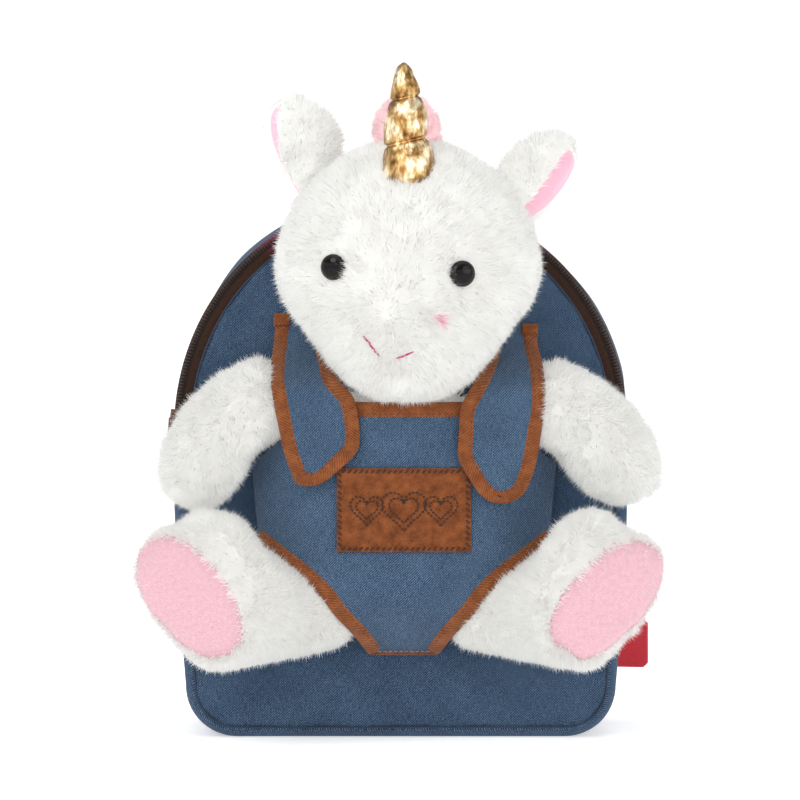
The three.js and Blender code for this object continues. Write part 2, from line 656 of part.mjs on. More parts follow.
function buildToy() {
  const fur = material('fur', 1);
  const cloths = [bibRoom(), flapRoom(flapLeft, over), flapRoom(flapRight, over)];
  const headCloths = [bibRoom(), flapRoom(flapLeft, under), flapRoom(flapRight, under)];
  const sockets = eyes.map((row) => eyeGeometry(row, 2 * gap));
  add('head', carved(furred(placeOnHead, 30, 16), [...headCloths, ...sockets]), fur);
  for (const row of eyes) add(row.name, eyeGeometry(row), material('eye', 0.1));
  const headRoom = envelope(placeOnHead, 30, 16);
  add('horn', carved(hornGeometry(), [headRoom]), material('gold', 0.3, 0.8));
  const tuft = furred(placeOnEgg(new THREE.Vector3(mane.x, headY + mane.behind, mane.z),
    new THREE.Vector3(mane.halfWidth, mane.halfDepth, mane.halfHeight)), 12, 7);
  add('mane', carved(tuft, [headRoom, hornGeometry(2 * gap)]), material('mane', 1));
  for (const { side, out, up: high, axis, opening } of ears) {
    const base = [head.x + out * head.halfWidth, headY - ear.ahead, head.z + high * head.halfHeight];
    const place = earPlacement(base, axis, opening);
    const back = earSheet(0, ear.fur, 1).applyMatrix4(place);
    const lining = earSheet(ear.fur + gap, ear.lining, 0.92).applyMatrix4(place);
    add(`ear_${side}`, carved(back, [headRoom]), fur);
    add(`ear_lining_${side}`, carved(lining, [headRoom]), material('satin', 0.7));
  }
  const rooms = [headRoom];
  for (const [name, side] of [['left', -1], ['right', 1]]) {
    const place = placeOnLimb(legStations, side, limb.legReach, limb.legRadius, 7);
    add(`leg_${name}`, carved(furred(place, 18, 11), cloths), fur);
    add(`sole_${name}`, soleGeometry(side), material('pinkFleece', 1));
    rooms.push(envelope(place, 18, 11));
  }
  for (const [name, side, rows] of [['left', -1, armLeft], ['right', 1, armRight]]) {
    const place = placeOnLimb(rows, side, limb.armReach, limb.armRadius, 3);
    add(`arm_${name}`, carved(furred(place, 14, 10), [...cloths, ...rooms]), fur);
  }
  for (const [side, rows] of [[-1, armLeft], [1, armRight]]) {
    rooms.push(envelope(placeOnLimb(rows, side, limb.armReach, limb.armRadius, 3), 14, 10));
  }
  const middle = new THREE.Vector3(bib.centre, toyPlane - torso.halfDepth - lock.height, torso.z);
  const body = furred(placeOnEgg(middle, new THREE.Vector3(torso.halfWidth, torso.halfDepth, torso.halfHeight)),
    12, 8);
  add('torso', carved(body, [...cloths, ...rooms]), fur);
}

// A ribbon's side view: a line of points with a thickness, as a closed outline.
function ribbonShape(points, thickness) {
  const curve = new THREE.SplineCurve(points.map(([x, y]) => new THREE.Vector2(x, y)));
  const sides = [1, -1].map((side) => spread(0, 1, (points.length - 1) * 2).map((t) => {
    const tangent = curve.getTangent(t);
    const across = new THREE.Vector2(-tangent.y, tangent.x).multiplyScalar((side * thickness) / 2);
    return curve.getPoint(t).add(across);
  }));
  return stripShape(...sides);
}

// How far the padded shoulder strap stands off the back: it is sewn down at its top.
const strapEnd = buckle.height + buckle.bar * 1.5 + buckle.slot + buckle.bar / 2;
const strapFall = 0.85; // share of half a wave that the strap follows down to its buckle

function strapAt(x, z) {
  const down = THREE.MathUtils.clamp((strap.top - z) / (strap.top - strapEnd), 0, 1);
  return backPlane + gap + strap.bow * Math.sin(Math.PI * strapFall * down);
}

const buckleY = strapAt(0, strapEnd) + strap.thickness / 2;
const endSlope = strapAt(0, strapEnd + 1) - strapAt(0, strapEnd); // its outer face ends this much lower
const strapLength = strap.top - strapEnd - gap - strap.thickness * endSlope;

function strapShape(side) {
  // middle of the strap: share of the half width out and of its length down, and its share of the width
  const rows = [
    { out: 0.23, down: 0, wide: 0.8 },
    { out: 0.3, down: 0.2, wide: 0.96 },
    { out: 0.41, down: 0.45, wide: 1 },
    { out: 0.52, down: 0.75, wide: 0.98 },
    { out: 0.583, down: 1, wide: 0.66 },
  ];
  const edge = (way) => new THREE.SplineCurve(rows.map(({ out, down, wide }) => new THREE.Vector2(
    side * out * half + (way * wide * strap.width) / 2, strap.top - down * strapLength)));
  return stripShape(edge(-1).getPoints(12), edge(1).getPoints(12));
}

function buckleGeometry(side) {
  const frame = new THREE.Shape();
  const tall = 3 * buckle.bar + 2 * buckle.slot;
  const [w, h] = [buckle.width / 2, tall / 2];
  frame.moveTo(-w, -h).lineTo(w, -h).lineTo(w, h).lineTo(-w, h).closePath();
  for (const level of [-1, 1]) {
    const hole = new THREE.Path();
    const [inner, z] = [w - buckle.bar, (level * (buckle.bar + buckle.slot)) / 2];
    const slot = buckle.slot / 2;
    hole.moveTo(-inner, z - slot).lineTo(inner, z - slot).lineTo(inner, z + slot).lineTo(-inner, z + slot);
    frame.holes.push(hole.closePath());
  }
  const geometry = new THREE.ExtrudeGeometry(frame, { depth: buckle.thickness, bevelEnabled: false });
  geometry.translate(0, 0, -buckle.thickness / 2).rotateX(Math.PI / 2);
  return geometry.translate(side * buckle.x, buckleY, buckle.height);
}

// The webbing: up from its lower corner, over the buckle's middle bar and down again as a loose tail.
function webbingGeometry(side) {
  const off = buckle.thickness / 2 + 2 * gap + webbing.thickness / 2;
  const rise = buckle.bar / 2 + 4 * gap + webbing.thickness / 2;
  const turns = [1, 0.75, 0.5, 0.25, 0].map((share) => share * Math.PI);
  const [y, z] = [buckleY, buckle.height];
  const seatY = backPlane + gap + webbing.thickness / 2;
  const path = [
    [seatY, webbing.anchor],
    [seatY + gap, webbing.anchor + webbing.sewn / 2],
    [seatY + 5 * gap, webbing.anchor + webbing.sewn],
    [y - off - 4 * gap, z - 2 * webbing.straight],
    [y - off, z - webbing.straight],
    ...turns.map((turn) => [y + off * Math.cos(turn), z + rise * Math.sin(turn)]),
    [y + off, z - webbing.straight],
    [y + off + 8 * gap, z - webbing.tail],
  ];
  const flat = new THREE.ExtrudeGeometry(ribbonShape(path, webbing.thickness), {
    depth: webbing.width, bevelEnabled: false });
  // the outline's plane becomes depth and height, and its extrusion the webbing's width
  const turned = new THREE.Matrix4().makeBasis(
    new THREE.Vector3(0, 1, 0), new THREE.Vector3(0, 0, 1), new THREE.Vector3(1, 0, 0));
  flat.applyMatrix4(turned).translate(side * buckle.x - webbing.width / 2, 0, 0);
  const spot = flat.attributes.position;
  const lean = (webbing.anchorX - buckle.x) / (buckle.height - webbing.anchor);
  for (let i = 0; i < spot.count; i++) {
    const below = Math.max(0, buckle.height - webbing.straight - spot.getZ(i));
    spot.setX(i, spot.getX(i) + side * lean * below);
  }
  return flat;
}

function handleGeometry() {
  const topAt = (x) => {
    const share = Math.abs(x / half) ** archPower;
    return bag.archStart + (bag.height - bag.archStart) * (1 - share) ** (1 / archPower);
  };
  const seat = gap + handle.thickness / 2;
  const turn = handle.inner + 2.4 * handle.thickness; // where the loop meets its sewn foot
  const right = [
    [handle.inner * 0.55, handle.height - handle.thickness],
    [handle.inner, topAt(handle.inner) + 3 * handle.thickness],
    [turn, topAt(turn) + seat + 2 * gap],
    [handle.foot, topAt(handle.foot) + seat],
  ];
  const left = right.map(([x, z]) => [-x, z]).reverse();
  const shape = ribbonShape([...left, [0, handle.height - handle.thickness / 2], ...right], handle.thickness);
  const geometry = new THREE.ExtrudeGeometry(shape, { depth: handle.width, bevelEnabled: false });
  return geometry.rotateX(Math.PI / 2).translate(0, handle.y + handle.width / 2, 0);
}

function buildBack() {
  const plastic = material('plastic', 0.5);
  for (const [name, side] of [['left', -1], ['right', 1]]) {
    const padded = cloth(strapShape(side), strapAt, strap.thickness, 26);
    add(`shoulder_strap_${name}`, padded, material('padding'));
    add(`strap_buckle_${name}`, buckleGeometry(side), plastic);
    add(`strap_webbing_${name}`, webbingGeometry(side), material('webbing'));
  }
  add('carry_handle', handleGeometry(), material('webbing'));
  const tab = add('label_tab', new THREE.BoxGeometry(label.width, label.thickness, label.height),
    material('label', 0.6));
  const seam = halfWidthAt(label.bottom) - seamInset.back;
  tab.position.set(seam + label.width / 2 - label.sewn, backPlane + gap + label.thickness / 2,
    label.bottom + label.height / 2);
}

// The slider sits on the coil near the left end of the zip; its pull hangs from a crown and swings outwards.
function buildZipPull() {
  const side = stationsBetween(zipStart, zipEnd).slice().reverse();
  const at = side.find((t) => outlineAt(t).point.y > zip.sliderHeight);
  const v = 0.56;
  const spot = bandAt(at, v);
  const along = bandAt(at - 1e-3, v).sub(bandAt(at + 1e-3, v)).normalize();
  const across = bandAt(at, v + 1e-3).sub(bandAt(at, v - 1e-3)).normalize();
  const outward = across.clone().cross(along).normalize();
  if (outward.x > 0) outward.negate();
  const level = along.clone().cross(outward).normalize();
  const seat = new THREE.Group();
  seat.setRotationFromMatrix(new THREE.Matrix4().makeBasis(level, along, outward));
  seat.position.copy(spot).addScaledVector(outward, 2 * gap);
  part.add(seat);
  const bronze = material('bronze', 0.35, 0.7);
  const box = (w, l, h, y, z) => new THREE.BoxGeometry(w, l, h).translate(0, y, z + h / 2);
  const plate = box(slider.width, slider.length, slider.thickness, 0, 0);
  const reach = pull.window - slider.crownLeg; // inside of the crown from the pull's bar to its leg
  const legs = [-1, 1].map((way) => box(slider.crownWidth, slider.crownLeg, slider.crown,
    way * (reach / 2 + slider.crownLeg / 2), slider.thickness - 0.2));
  const top = box(slider.crownWidth, reach + 2 * slider.crownLeg, slider.crownLeg, 0,
    slider.thickness + slider.crown - slider.crownLeg - 0.2);
  let body = solidOf(plate);
  for (const piece of [...legs, top]) body = body.add(solidOf(piece));
  add('zip_slider', geometryOf(body), bronze, seat);
  const tab = new THREE.Shape();
  const [w, l] = [pull.width / 2, pull.length];
  tab.moveTo(-w, pull.bar / 2).lineTo(-w, -l + w).absarc(0, -l + w, w, Math.PI, 0, false);
  tab.lineTo(w, pull.bar / 2).closePath();
  const opening = new THREE.Path();
  const [ow, start] = [pull.windowWidth / 2, -pull.bar / 2];
  opening.moveTo(-ow, start).lineTo(ow, start).lineTo(ow, start - pull.window);
  tab.holes.push(opening.lineTo(-ow, start - pull.window).closePath());
  const plateGeometry = new THREE.ExtrudeGeometry(tab, {
    depth: pull.thickness, curveSegments: 6, bevelEnabled: false }).translate(0, 0, -pull.thickness / 2);
  const hung = add('zip_pull', plateGeometry, bronze, seat);
  hung.position.set(0, 0, slider.thickness + (slider.crown - slider.crownLeg) / 2);
}

buildBag();
buildBib();
buildFlaps();
buildToy();
buildBack();
buildZipPull();

export default part;
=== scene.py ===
import math

import bmesh
import bpy
import numpy as np
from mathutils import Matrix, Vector
from mathutils.bvhtree import BVHTree
from mathutils.kdtree import KDTree


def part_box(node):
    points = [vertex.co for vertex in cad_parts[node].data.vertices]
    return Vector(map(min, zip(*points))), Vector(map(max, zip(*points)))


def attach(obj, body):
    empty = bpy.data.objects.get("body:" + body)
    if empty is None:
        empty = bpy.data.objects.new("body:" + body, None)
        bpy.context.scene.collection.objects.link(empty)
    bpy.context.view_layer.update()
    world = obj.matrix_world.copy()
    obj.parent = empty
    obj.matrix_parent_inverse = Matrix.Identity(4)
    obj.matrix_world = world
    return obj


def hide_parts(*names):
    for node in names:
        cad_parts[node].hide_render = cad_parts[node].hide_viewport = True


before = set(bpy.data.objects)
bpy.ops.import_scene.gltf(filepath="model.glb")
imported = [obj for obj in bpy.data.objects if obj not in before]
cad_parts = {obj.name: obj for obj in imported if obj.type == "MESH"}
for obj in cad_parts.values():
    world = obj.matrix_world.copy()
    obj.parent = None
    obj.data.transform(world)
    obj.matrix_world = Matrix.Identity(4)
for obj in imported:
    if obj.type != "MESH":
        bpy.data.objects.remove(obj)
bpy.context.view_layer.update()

scene = bpy.context.scene
mm = 0.001
print("frame loaded with", len(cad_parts), "nodes")

# The camera stands straight in front with a long lens, a little above the middle of the bag.
view = {"target": (-0.0005, -0.045, 0.1775), "distance": 3.0, "elevation": 2.0, "lens": 254.7}


def placeCamera():
    data = bpy.data.cameras.new("camera")
    data.lens = view["lens"]
    data.sensor_width = 36
    data.clip_end = 50
    camera = bpy.data.objects.new("camera", data)
    scene.collection.objects.link(camera)
    tilt = math.radians(view["elevation"])
    target = Vector(view["target"])
    camera.location = target + view["distance"] * Vector((0, -math.cos(tilt), math.sin(tilt)))
    camera.rotation_euler = (target - camera.location).to_track_quat("-Z", "Y").to_euler()
    scene.camera = camera


placeCamera()

# Soft studio light on a pale sweep of paper.
studio = {
    "world": (0.98, 0.99, 1.0),
    "worldStrength": 0.5,
    "lights": [
        # name, place, size, watts
        ("keyLight", (-1.1, -1.7, 1.7), 1.4, 18),
        ("fillLight", (1.5, -1.5, 0.9), 1.6, 9.5),
        ("topLight", (0.0, -0.2, 2.1), 1.6, 5.4),
        ("sparkLight", (-0.55, -2.1, 0.85), 0.1, 3),
        ("backLight", (0.3, 1.9, 1.3), 1.4, 12),
    ],
    "paper": (0.93, 0.93, 0.93),
    "paperGlow": 0.44,
}


def srgb(red, green, blue):
    parts = (red / 255, green / 255, blue / 255)
    return tuple(c / 12.92 if c <= 0.04045 else ((c + 0.055) / 1.055) ** 2.4 for c in parts) + (1.0,)


# A material's nodes, built a few at a time. Values may be plain numbers or another node's output.
class Finish:
    def __init__(self, name, roughness=0.8, metallic=0.0, **fixed):
        self.material = bpy.data.materials.new(name)
        self.material.use_nodes = True
        self.tree = self.material.node_tree
        self.shader = self.tree.nodes["Principled BSDF"]
        self.shader.inputs["Roughness"].default_value = roughness
        self.shader.inputs["Metallic"].default_value = metallic
        for socket, value in fixed.items():
            self.shader.inputs[socket.replace("_", " ")].default_value = value

    def feed(self, socket, value):
        if isinstance(value, bpy.types.NodeSocket):
            self.tree.links.new(value, socket)
        else:
            socket.default_value = value

    def add(self, kind, output=0, props=(), **values):
        made = self.tree.nodes.new(kind)
        for key, value in dict(props).items():
            setattr(made, key, value)
        for key, value in values.items():
            self.feed(made.inputs[int(key[1:]) if key[0] == "i" and key[1:].isdigit() else key], value)
        return made.outputs[output]

    def sums(self, operation, first, second=0.0):
        return self.add("ShaderNodeMath", props={"operation": operation}, i0=first, i1=second)

    def split(self, vector):
        made = self.tree.nodes.new("ShaderNodeSeparateXYZ")
        self.feed(made.inputs[0], vector)
        return made.outputs[0], made.outputs[1], made.outputs[2]

    def cloth(self):
        return self.add("ShaderNodeUVMap", props={"uv_map": "cloth"})

    def spot(self):
        made = self.tree.nodes.new("ShaderNodeTexCoord")
        return made.outputs["Object"]

    def scaled(self, vector, by):
        return self.add("ShaderNodeVectorMath", props={"operation": "MULTIPLY"}, i0=vector, i1=by)

    def noise(self, vector, size=1.0, detail=3.0, rough=0.5):
        return self.add("ShaderNodeTexNoise", Vector=vector, Scale=size, Detail=detail, Roughness=rough)

    def ramp(self, value, *stops):
        made = self.tree.nodes.new("ShaderNodeValToRGB")
        self.feed(made.inputs[0], value)
        ramp = made.color_ramp
        while len(ramp.elements) < len(stops):
            ramp.elements.new(0.5)
        for element, (place, colour) in zip(ramp.elements, stops):
            element.position = place
            element.color = colour
        return made.outputs[0]

    def mix(self, share, first, second, blend="MIX"):
        made = self.tree.nodes.new("ShaderNodeMix")
        made.data_type = "RGBA"
        made.blend_type = blend
        self.feed(made.inputs[0], share)
        self.feed(made.inputs[6], first)
        self.feed(made.inputs[7], second)
        return made.outputs[2]

    def colour(self, value):
        self.feed(self.shader.inputs["Base Color"], value)

    # light passes through thin fibres as well as off them
    def letThrough(self, colour, share):
        through = self.add("ShaderNodeBsdfTranslucent", Color=colour)
        both = self.add("ShaderNodeMixShader", i0=share, i1=self.shader.outputs[0], i2=through)
        self.tree.links.new(both, self.tree.nodes["Material Output"].inputs[0])

    def bump(self, height, strength, distance):
        normal = self.add("ShaderNodeBump", Strength=strength, Distance=distance, Height=height)
        self.feed(self.shader.inputs["Normal"], normal)


def twillLines(finish, pitch, slant=1.0):
    across, along, _ = finish.split(finish.cloth())
    wander = finish.noise(finish.scaled(finish.cloth(), (0.25, 0.25, 0)), 1.0, 2.0)
    lean = finish.sums("SUBTRACT", across, finish.sums("MULTIPLY", along, slant))
    turns = finish.sums("MULTIPLY", lean, 2 * math.pi / (pitch * math.hypot(1, slant)))
    wavy = finish.sums("ADD", turns, finish.sums("MULTIPLY", wander, 2.5))
    wave = finish.sums("SINE", wavy)
    return finish.sums("ADD", finish.sums("MULTIPLY", wave, 0.5), 0.5)


denimLook = {"pitch": 0.95, "deep": srgb(15, 26, 43), "mid": srgb(47, 67, 92), "pale": srgb(112, 138, 164)}


def denimFinish(name, lift=0.0):
    finish = Finish(name, 0.92, Sheen_Weight=0.06, Sheen_Roughness=0.6, Specular_IOR_Level=0.15)
    twill = twillLines(finish, denimLook["pitch"])
    uv = finish.cloth()
    slub = finish.noise(finish.scaled(uv, (2.6, 0.22, 0)), 1.0, 2.0)
    weft = finish.noise(finish.scaled(uv, (0.35, 2.8, 0)), 1.0, 2.0)
    fleck = finish.noise(finish.scaled(uv, (1.6, 1.6, 0)), 1.0, 3.0, 0.7)
    cloud = finish.noise(finish.scaled(uv, (0.035, 0.03, 0)), 1.0, 3.0)
    threads = finish.sums("ADD", finish.sums("MULTIPLY", slub, 0.4), finish.sums("MULTIPLY", weft, 0.35))
    threads = finish.sums("ADD", threads, finish.sums("MULTIPLY", fleck, 1.05))
    threads = finish.sums("ADD", threads, finish.sums("MULTIPLY", twill, 0.32))
    threads = finish.sums("ADD", threads, finish.sums("MULTIPLY", cloud, 0.22))
    threads = finish.sums("ADD", threads, lift - 0.665)
    finish.colour(finish.ramp(threads, (0.2, denimLook["deep"]), (0.52, denimLook["mid"]),
                              (0.92, denimLook["pale"])))
    relief = finish.sums("ADD", finish.sums("MULTIPLY", twill, 0.7), finish.sums("MULTIPLY", fleck, 0.6))
    finish.bump(relief, 0.5, 0.00025)
    return finish.material


suedeLook = {"pitch": 1.25, "deep": srgb(76, 38, 18), "mid": srgb(134, 76, 42), "pale": srgb(172, 106, 62)}


def suedeFinish(name, ribs=0.5, lift=0.0):
    finish = Finish(name, 0.95, Sheen_Weight=0.1, Sheen_Roughness=0.5, Specular_IOR_Level=0.12)
    rib = twillLines(finish, suedeLook["pitch"], 0.8)
    uv = finish.cloth()
    nap = finish.noise(finish.scaled(uv, (0.16, 0.16, 0)), 1.0, 5.0, 0.65)
    grain = finish.noise(finish.scaled(uv, (1.7, 1.7, 0)), 1.0, 3.0, 0.7)
    tone = finish.sums("ADD", finish.sums("MULTIPLY", nap, 0.75), finish.sums("MULTIPLY", grain, 0.5))
    tone = finish.sums("ADD", tone, finish.sums("MULTIPLY", rib, 0.4 * ribs))
    tone = finish.sums("ADD", tone, lift - 0.17 - 0.09 * ribs)
    finish.colour(finish.ramp(tone, (0.22, suedeLook["deep"]), (0.52, suedeLook["mid"]),
                              (0.85, suedeLook["pale"])))
    relief = finish.sums("ADD", finish.sums("MULTIPLY", rib, ribs), finish.sums("MULTIPLY", grain, 0.9))
    finish.bump(relief, 0.85, 0.0006)
    return finish.material


def plainCloth(name, colour, roughness=0.85, pitch=0.8, depth=0.25, fleck=0.25, **fixed):
    finish = Finish(name, roughness, **fixed)
    across, along, _ = finish.split(finish.cloth())
    warp = finish.sums("SINE", finish.sums("MULTIPLY", across, 2 * math.pi / pitch))
    weft = finish.sums("SINE", finish.sums("MULTIPLY", along, 2 * math.pi / pitch))
    weave = finish.sums("MULTIPLY", warp, weft)
    grain = finish.noise(finish.scaled(finish.cloth(), (0.5, 0.5, 0)), 1.0, 4.0, 0.65)
    dark = tuple(c * (1 - fleck) for c in colour[:3]) + (1,)
    pale = tuple(min(1, c * (1 + fleck)) for c in colour[:3]) + (1,)
    tone = finish.sums("ADD", grain, finish.sums("MULTIPLY", weave, 0.12))
    finish.colour(finish.ramp(tone, (0.3, dark), (0.5, colour), (0.72, pale)))
    finish.bump(finish.sums("ADD", weave, finish.sums("MULTIPLY", grain, 0.6)), depth, 0.0003)
    return finish.material


def tapeFinish():
    # dark brown tape that turns berry near the top of the arch
    finish = Finish("zipTape", 0.85, Specular_IOR_Level=0.15)
    _, _, height = finish.split(finish.spot())
    top = finish.ramp(finish.sums("MULTIPLY", height, 1 / 0.3), (0.85, srgb(54, 35, 26)),
                      (0.885, srgb(158, 36, 84)))
    grain = finish.noise(finish.scaled(finish.cloth(), (0.9, 0.9, 0)), 1.0, 3.0)
    _, along, _ = finish.split(finish.cloth())
    ribs = finish.sums("SINE", finish.sums("MULTIPLY", along, 2 * math.pi / 0.9))
    shade = finish.ramp(grain, (0.3, (0.62, 0.62, 0.62, 1)), (0.7, (1, 1, 1, 1)))
    finish.colour(finish.mix(1.0, top, shade, "MULTIPLY"))
    finish.bump(finish.sums("ADD", ribs, grain), 0.35, 0.0003)
    return finish.material


def coilFinish():
    finish = Finish("zipCoil", 0.45, Specular_IOR_Level=0.3)
    _, _, height = finish.split(finish.spot())
    top = finish.ramp(finish.sums("MULTIPLY", height, 1 / 0.3), (0.855, srgb(56, 36, 29)),
                      (0.89, srgb(110, 28, 58)))
    finish.colour(top)
    return finish.material


# White fur with a painted glow: it emits a little of its own colour so the shade between its blades stays light.
def furFinish(name, tip, root, roughness=0.9, paintedGlow=0.32):
    finish = Finish(name, roughness, Sheen_Weight=0.2, Sheen_Roughness=0.5, Specular_IOR_Level=0.1,
                    Emission_Strength=paintedGlow)
    height, _, _ = finish.split(finish.cloth())
    tone = finish.noise(finish.scaled(finish.spot(), (60, 60, 60)), 1.0, 2.0)
    base = finish.ramp(height, (0.0, root), (0.5, tip))
    shade = finish.ramp(tone, (0.3, (0.965, 0.962, 0.957, 1)), (0.6, (1, 1, 1, 1)))
    colour = finish.mix(1.0, base, shade, "MULTIPLY")
    finish.colour(colour)
    # the painted glow takes the fur's own colour
    finish.feed(finish.shader.inputs["Emission Color"], colour)
    finish.letThrough(colour, 0.45)
    return finish.material


# Foil on cloth: broad dark and light patches painted into its colour as reflections, small creases that bump it, vary
# its roughness and add finer painted reflections, and worn grain over them.
def goldFinish():
    finish = Finish("goldFoilCloth", 0.24, 1.0)
    spot = finish.spot()
    # broad patches of painted reflection
    paintedReflection = finish.noise(finish.scaled(spot, (150, 150, 110)), 1.0, 2.0, 0.5)
    creaseReliefAndReflection = finish.noise(finish.scaled(spot, (620, 620, 260)), 1.0, 4.0, 0.6)
    weave = finish.noise(finish.scaled(spot, (2400, 2400, 2400)), 1.0, 2.0)
    tone = finish.sums("ADD", finish.sums("MULTIPLY", paintedReflection, 0.75), finish.sums("MULTIPLY", creaseReliefAndReflection, 0.4))
    # painted reflections: the colour runs from dark brown up to a near-white painted highlight
    finish.colour(finish.ramp(tone, (0.4, srgb(92, 62, 30)), (0.51, srgb(160, 120, 70)),
                              (0.6, srgb(206, 172, 120)), (0.7, srgb(255, 240, 206))))
    finish.feed(finish.shader.inputs["Roughness"], finish.add(
        "ShaderNodeMapRange", Value=creaseReliefAndReflection, **{"To Min": 0.16, "To Max": 0.34}))
    finish.bump(finish.sums("ADD", creaseReliefAndReflection, finish.sums("MULTIPLY", weave, 0.2)), 0.55, 0.0009)
    return finish.material


def eyeFinish():
    finish = Finish("eyeGloss", 0.05, Specular_IOR_Level=0.22)
    ring, _, _ = finish.split(finish.cloth())
    speck = finish.noise(finish.scaled(finish.spot(), (900, 900, 900)), 1.0, 2.0)
    iris = finish.ramp(ring, (0.0, srgb(3, 3, 4)), (0.62, srgb(4, 4, 5)), (0.78, srgb(44, 34, 29)),
                       (0.9, srgb(36, 30, 28)), (0.97, srgb(5, 5, 5)))
    shade = finish.ramp(speck, (0.3, (0.7, 0.7, 0.7, 1)), (0.7, (1, 1, 1, 1)))
    finish.colour(finish.mix(1.0, iris, shade, "MULTIPLY"))
    return finish.material


def bronzeFinish():
    finish = Finish("bronzePlate", 0.26, 0.9, Coat_Weight=0.3, Coat_Roughness=0.1)
    wear = finish.noise(finish.scaled(finish.spot(), (500, 500, 500)), 1.0, 4.0)
    finish.colour(finish.ramp(wear, (0.35, srgb(70, 46, 34)), (0.7, srgb(128, 92, 68))))
    return finish.material


finishes = {
    "denim": denimFinish("denim"),
    "denimFlap": denimFinish("denimFlap", 0.05),
    "suede": suedeFinish("suede"),
    "patch": suedeFinish("patchSuede", 0.12, -0.03),
    "tape": tapeFinish(),
    "coil": coilFinish(),
    "coilBed": plainCloth("coilBed", srgb(22, 13, 10), 0.9, 0.9, 0.3, 0.2),
    "fur": furFinish("whiteFur", srgb(254, 254, 252), srgb(244, 243, 240)),
    "skin": plainCloth("furBacking", srgb(244, 243, 240), 0.95, 1.2, 0.2, 0.03),
    # the mane's painted glow is stronger than the white fur's
    "mane": furFinish("maneFleece", srgb(254, 228, 231), srgb(253, 220, 226), paintedGlow=0.42),
    "blush": furFinish("blushFur", srgb(250, 196, 210), srgb(248, 206, 218)),
    "satin": plainCloth("pinkSatin", srgb(250, 196, 214), 0.6, 0.5, 0.12, 0.05, Sheen_Weight=0.2),
    "sole": plainCloth("soleFleece", srgb(230, 182, 193), 0.97, 1.3, 0.8, 0.1, Sheen_Weight=0.15),
    "gold": goldFinish(),
    "eye": eyeFinish(),
    "darkThread": plainCloth("darkThread", srgb(58, 34, 24), 0.7, 0.5, 0.3, 0.2),
    "tanThread": plainCloth("tanThread", srgb(196, 124, 70), 0.7, 0.5, 0.3, 0.2),
    "trimThread": plainCloth("trimThread", srgb(98, 54, 30), 0.8, 0.5, 0.3, 0.2),
    "paleThread": plainCloth("paleThread", srgb(96, 118, 144), 0.8, 0.5, 0.3, 0.2),
    "blueThread": plainCloth("blueThread", srgb(36, 50, 72), 0.75, 0.5, 0.3, 0.2),
    "pinkThread": plainCloth("pinkThread", srgb(176, 66, 110), 0.6, 0.5, 0.3, 0.15),
    "padding": plainCloth("paddedCloth", srgb(36, 51, 72), 0.92, 1.0, 0.5, 0.3),
    "webbing": plainCloth("wovenTape", srgb(26, 33, 44), 0.85, 1.6, 0.7, 0.35),
    "plastic": plainCloth("mouldedPlastic", srgb(24, 24, 27), 0.42, 0.6, 0.05, 0.1),
    "label": plainCloth("labelCloth", srgb(204, 22, 42), 0.6, 0.6, 0.3, 0.12, Sheen_Weight=0.3),
    "bronze": bronzeFinish(),
}
print("finishes ready:", len(finishes))


# Meshes are worked out in millimetres and made in metres.
def addMesh(name, points, faces, finish, uv=None, body="backpack", slot=None, node=(), flat=False):
    mesh = bpy.data.meshes.new(name)
    mesh.from_pydata((np.asarray(points, float) * mm).tolist(), [], [list(map(int, f)) for f in faces])
    mesh.validate()
    if uv is not None:
        layer = mesh.uv_layers.new(name="cloth")
        corner = np.empty(len(mesh.loops), np.int32)
        mesh.loops.foreach_get("vertex_index", corner)
        layer.data.foreach_set("uv", np.asarray(uv, float)[corner].astype(np.float32).ravel())
    work = bmesh.new()
    work.from_mesh(mesh)
    bmesh.ops.recalc_face_normals(work, faces=work.faces)
    work.to_mesh(mesh)
    work.free()
    mesh.polygons.foreach_set("use_smooth", [not flat] * len(mesh.polygons))
    mesh.materials.append(finishes[finish])
    piece = bpy.data.objects.new(name, mesh)
    scene.collection.objects.link(piece)
    return settle(piece, node, body)


def settle(piece, node=(), body="backpack"):
    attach(piece, body)
    if node:
        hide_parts(*([node] if isinstance(node, str) else node))
    return piece


def ripple(points, size, seed, count=7):
    draw = np.random.default_rng(seed)
    total = np.zeros(len(points))
    for _ in range(count):
        way = draw.normal(size=3)
        way *= draw.uniform(0.6, 1.5) * 2 * math.pi / size / np.linalg.norm(way)
        total += np.sin(points @ way + draw.uniform(0, 2 * math.pi))
    return total / count


def gridFaces(rows, columns, first=0, loop=False):
    index = np.arange(rows * columns).reshape(rows, columns) + first
    if loop:
        index = np.vstack([index, index[:1]])
    return np.stack([index[:-1, :-1], index[:-1, 1:], index[1:, 1:], index[1:, :-1]], -1).reshape(-1, 4)


def normalsOf(grid, loop=False):
    along = np.gradient(grid, axis=0)
    if loop:
        along = (np.roll(grid, -1, 0) - np.roll(grid, 1, 0)) / 2
    across = np.gradient(grid, axis=1)
    normal = np.cross(along, across)
    return normal / np.maximum(np.linalg.norm(normal, axis=2, keepdims=True), 1e-9)


# How far each point of a grid lies along the cloth, in both directions, for the weave.
def clothCoordinates(grid):
    rows, columns = grid.shape[:2]
    down = np.concatenate([np.zeros((1, columns)),
                           np.cumsum(np.linalg.norm(np.diff(grid, axis=0), axis=2), axis=0)])
    over = np.concatenate([np.zeros((rows, 1)),
                           np.cumsum(np.linalg.norm(np.diff(grid, axis=1), axis=2), axis=1)], axis=1)
    down -= down[rows // 2]
    over -= over[:, columns // 2:columns // 2 + 1]
    return np.stack([over, down], -1).reshape(-1, 2)


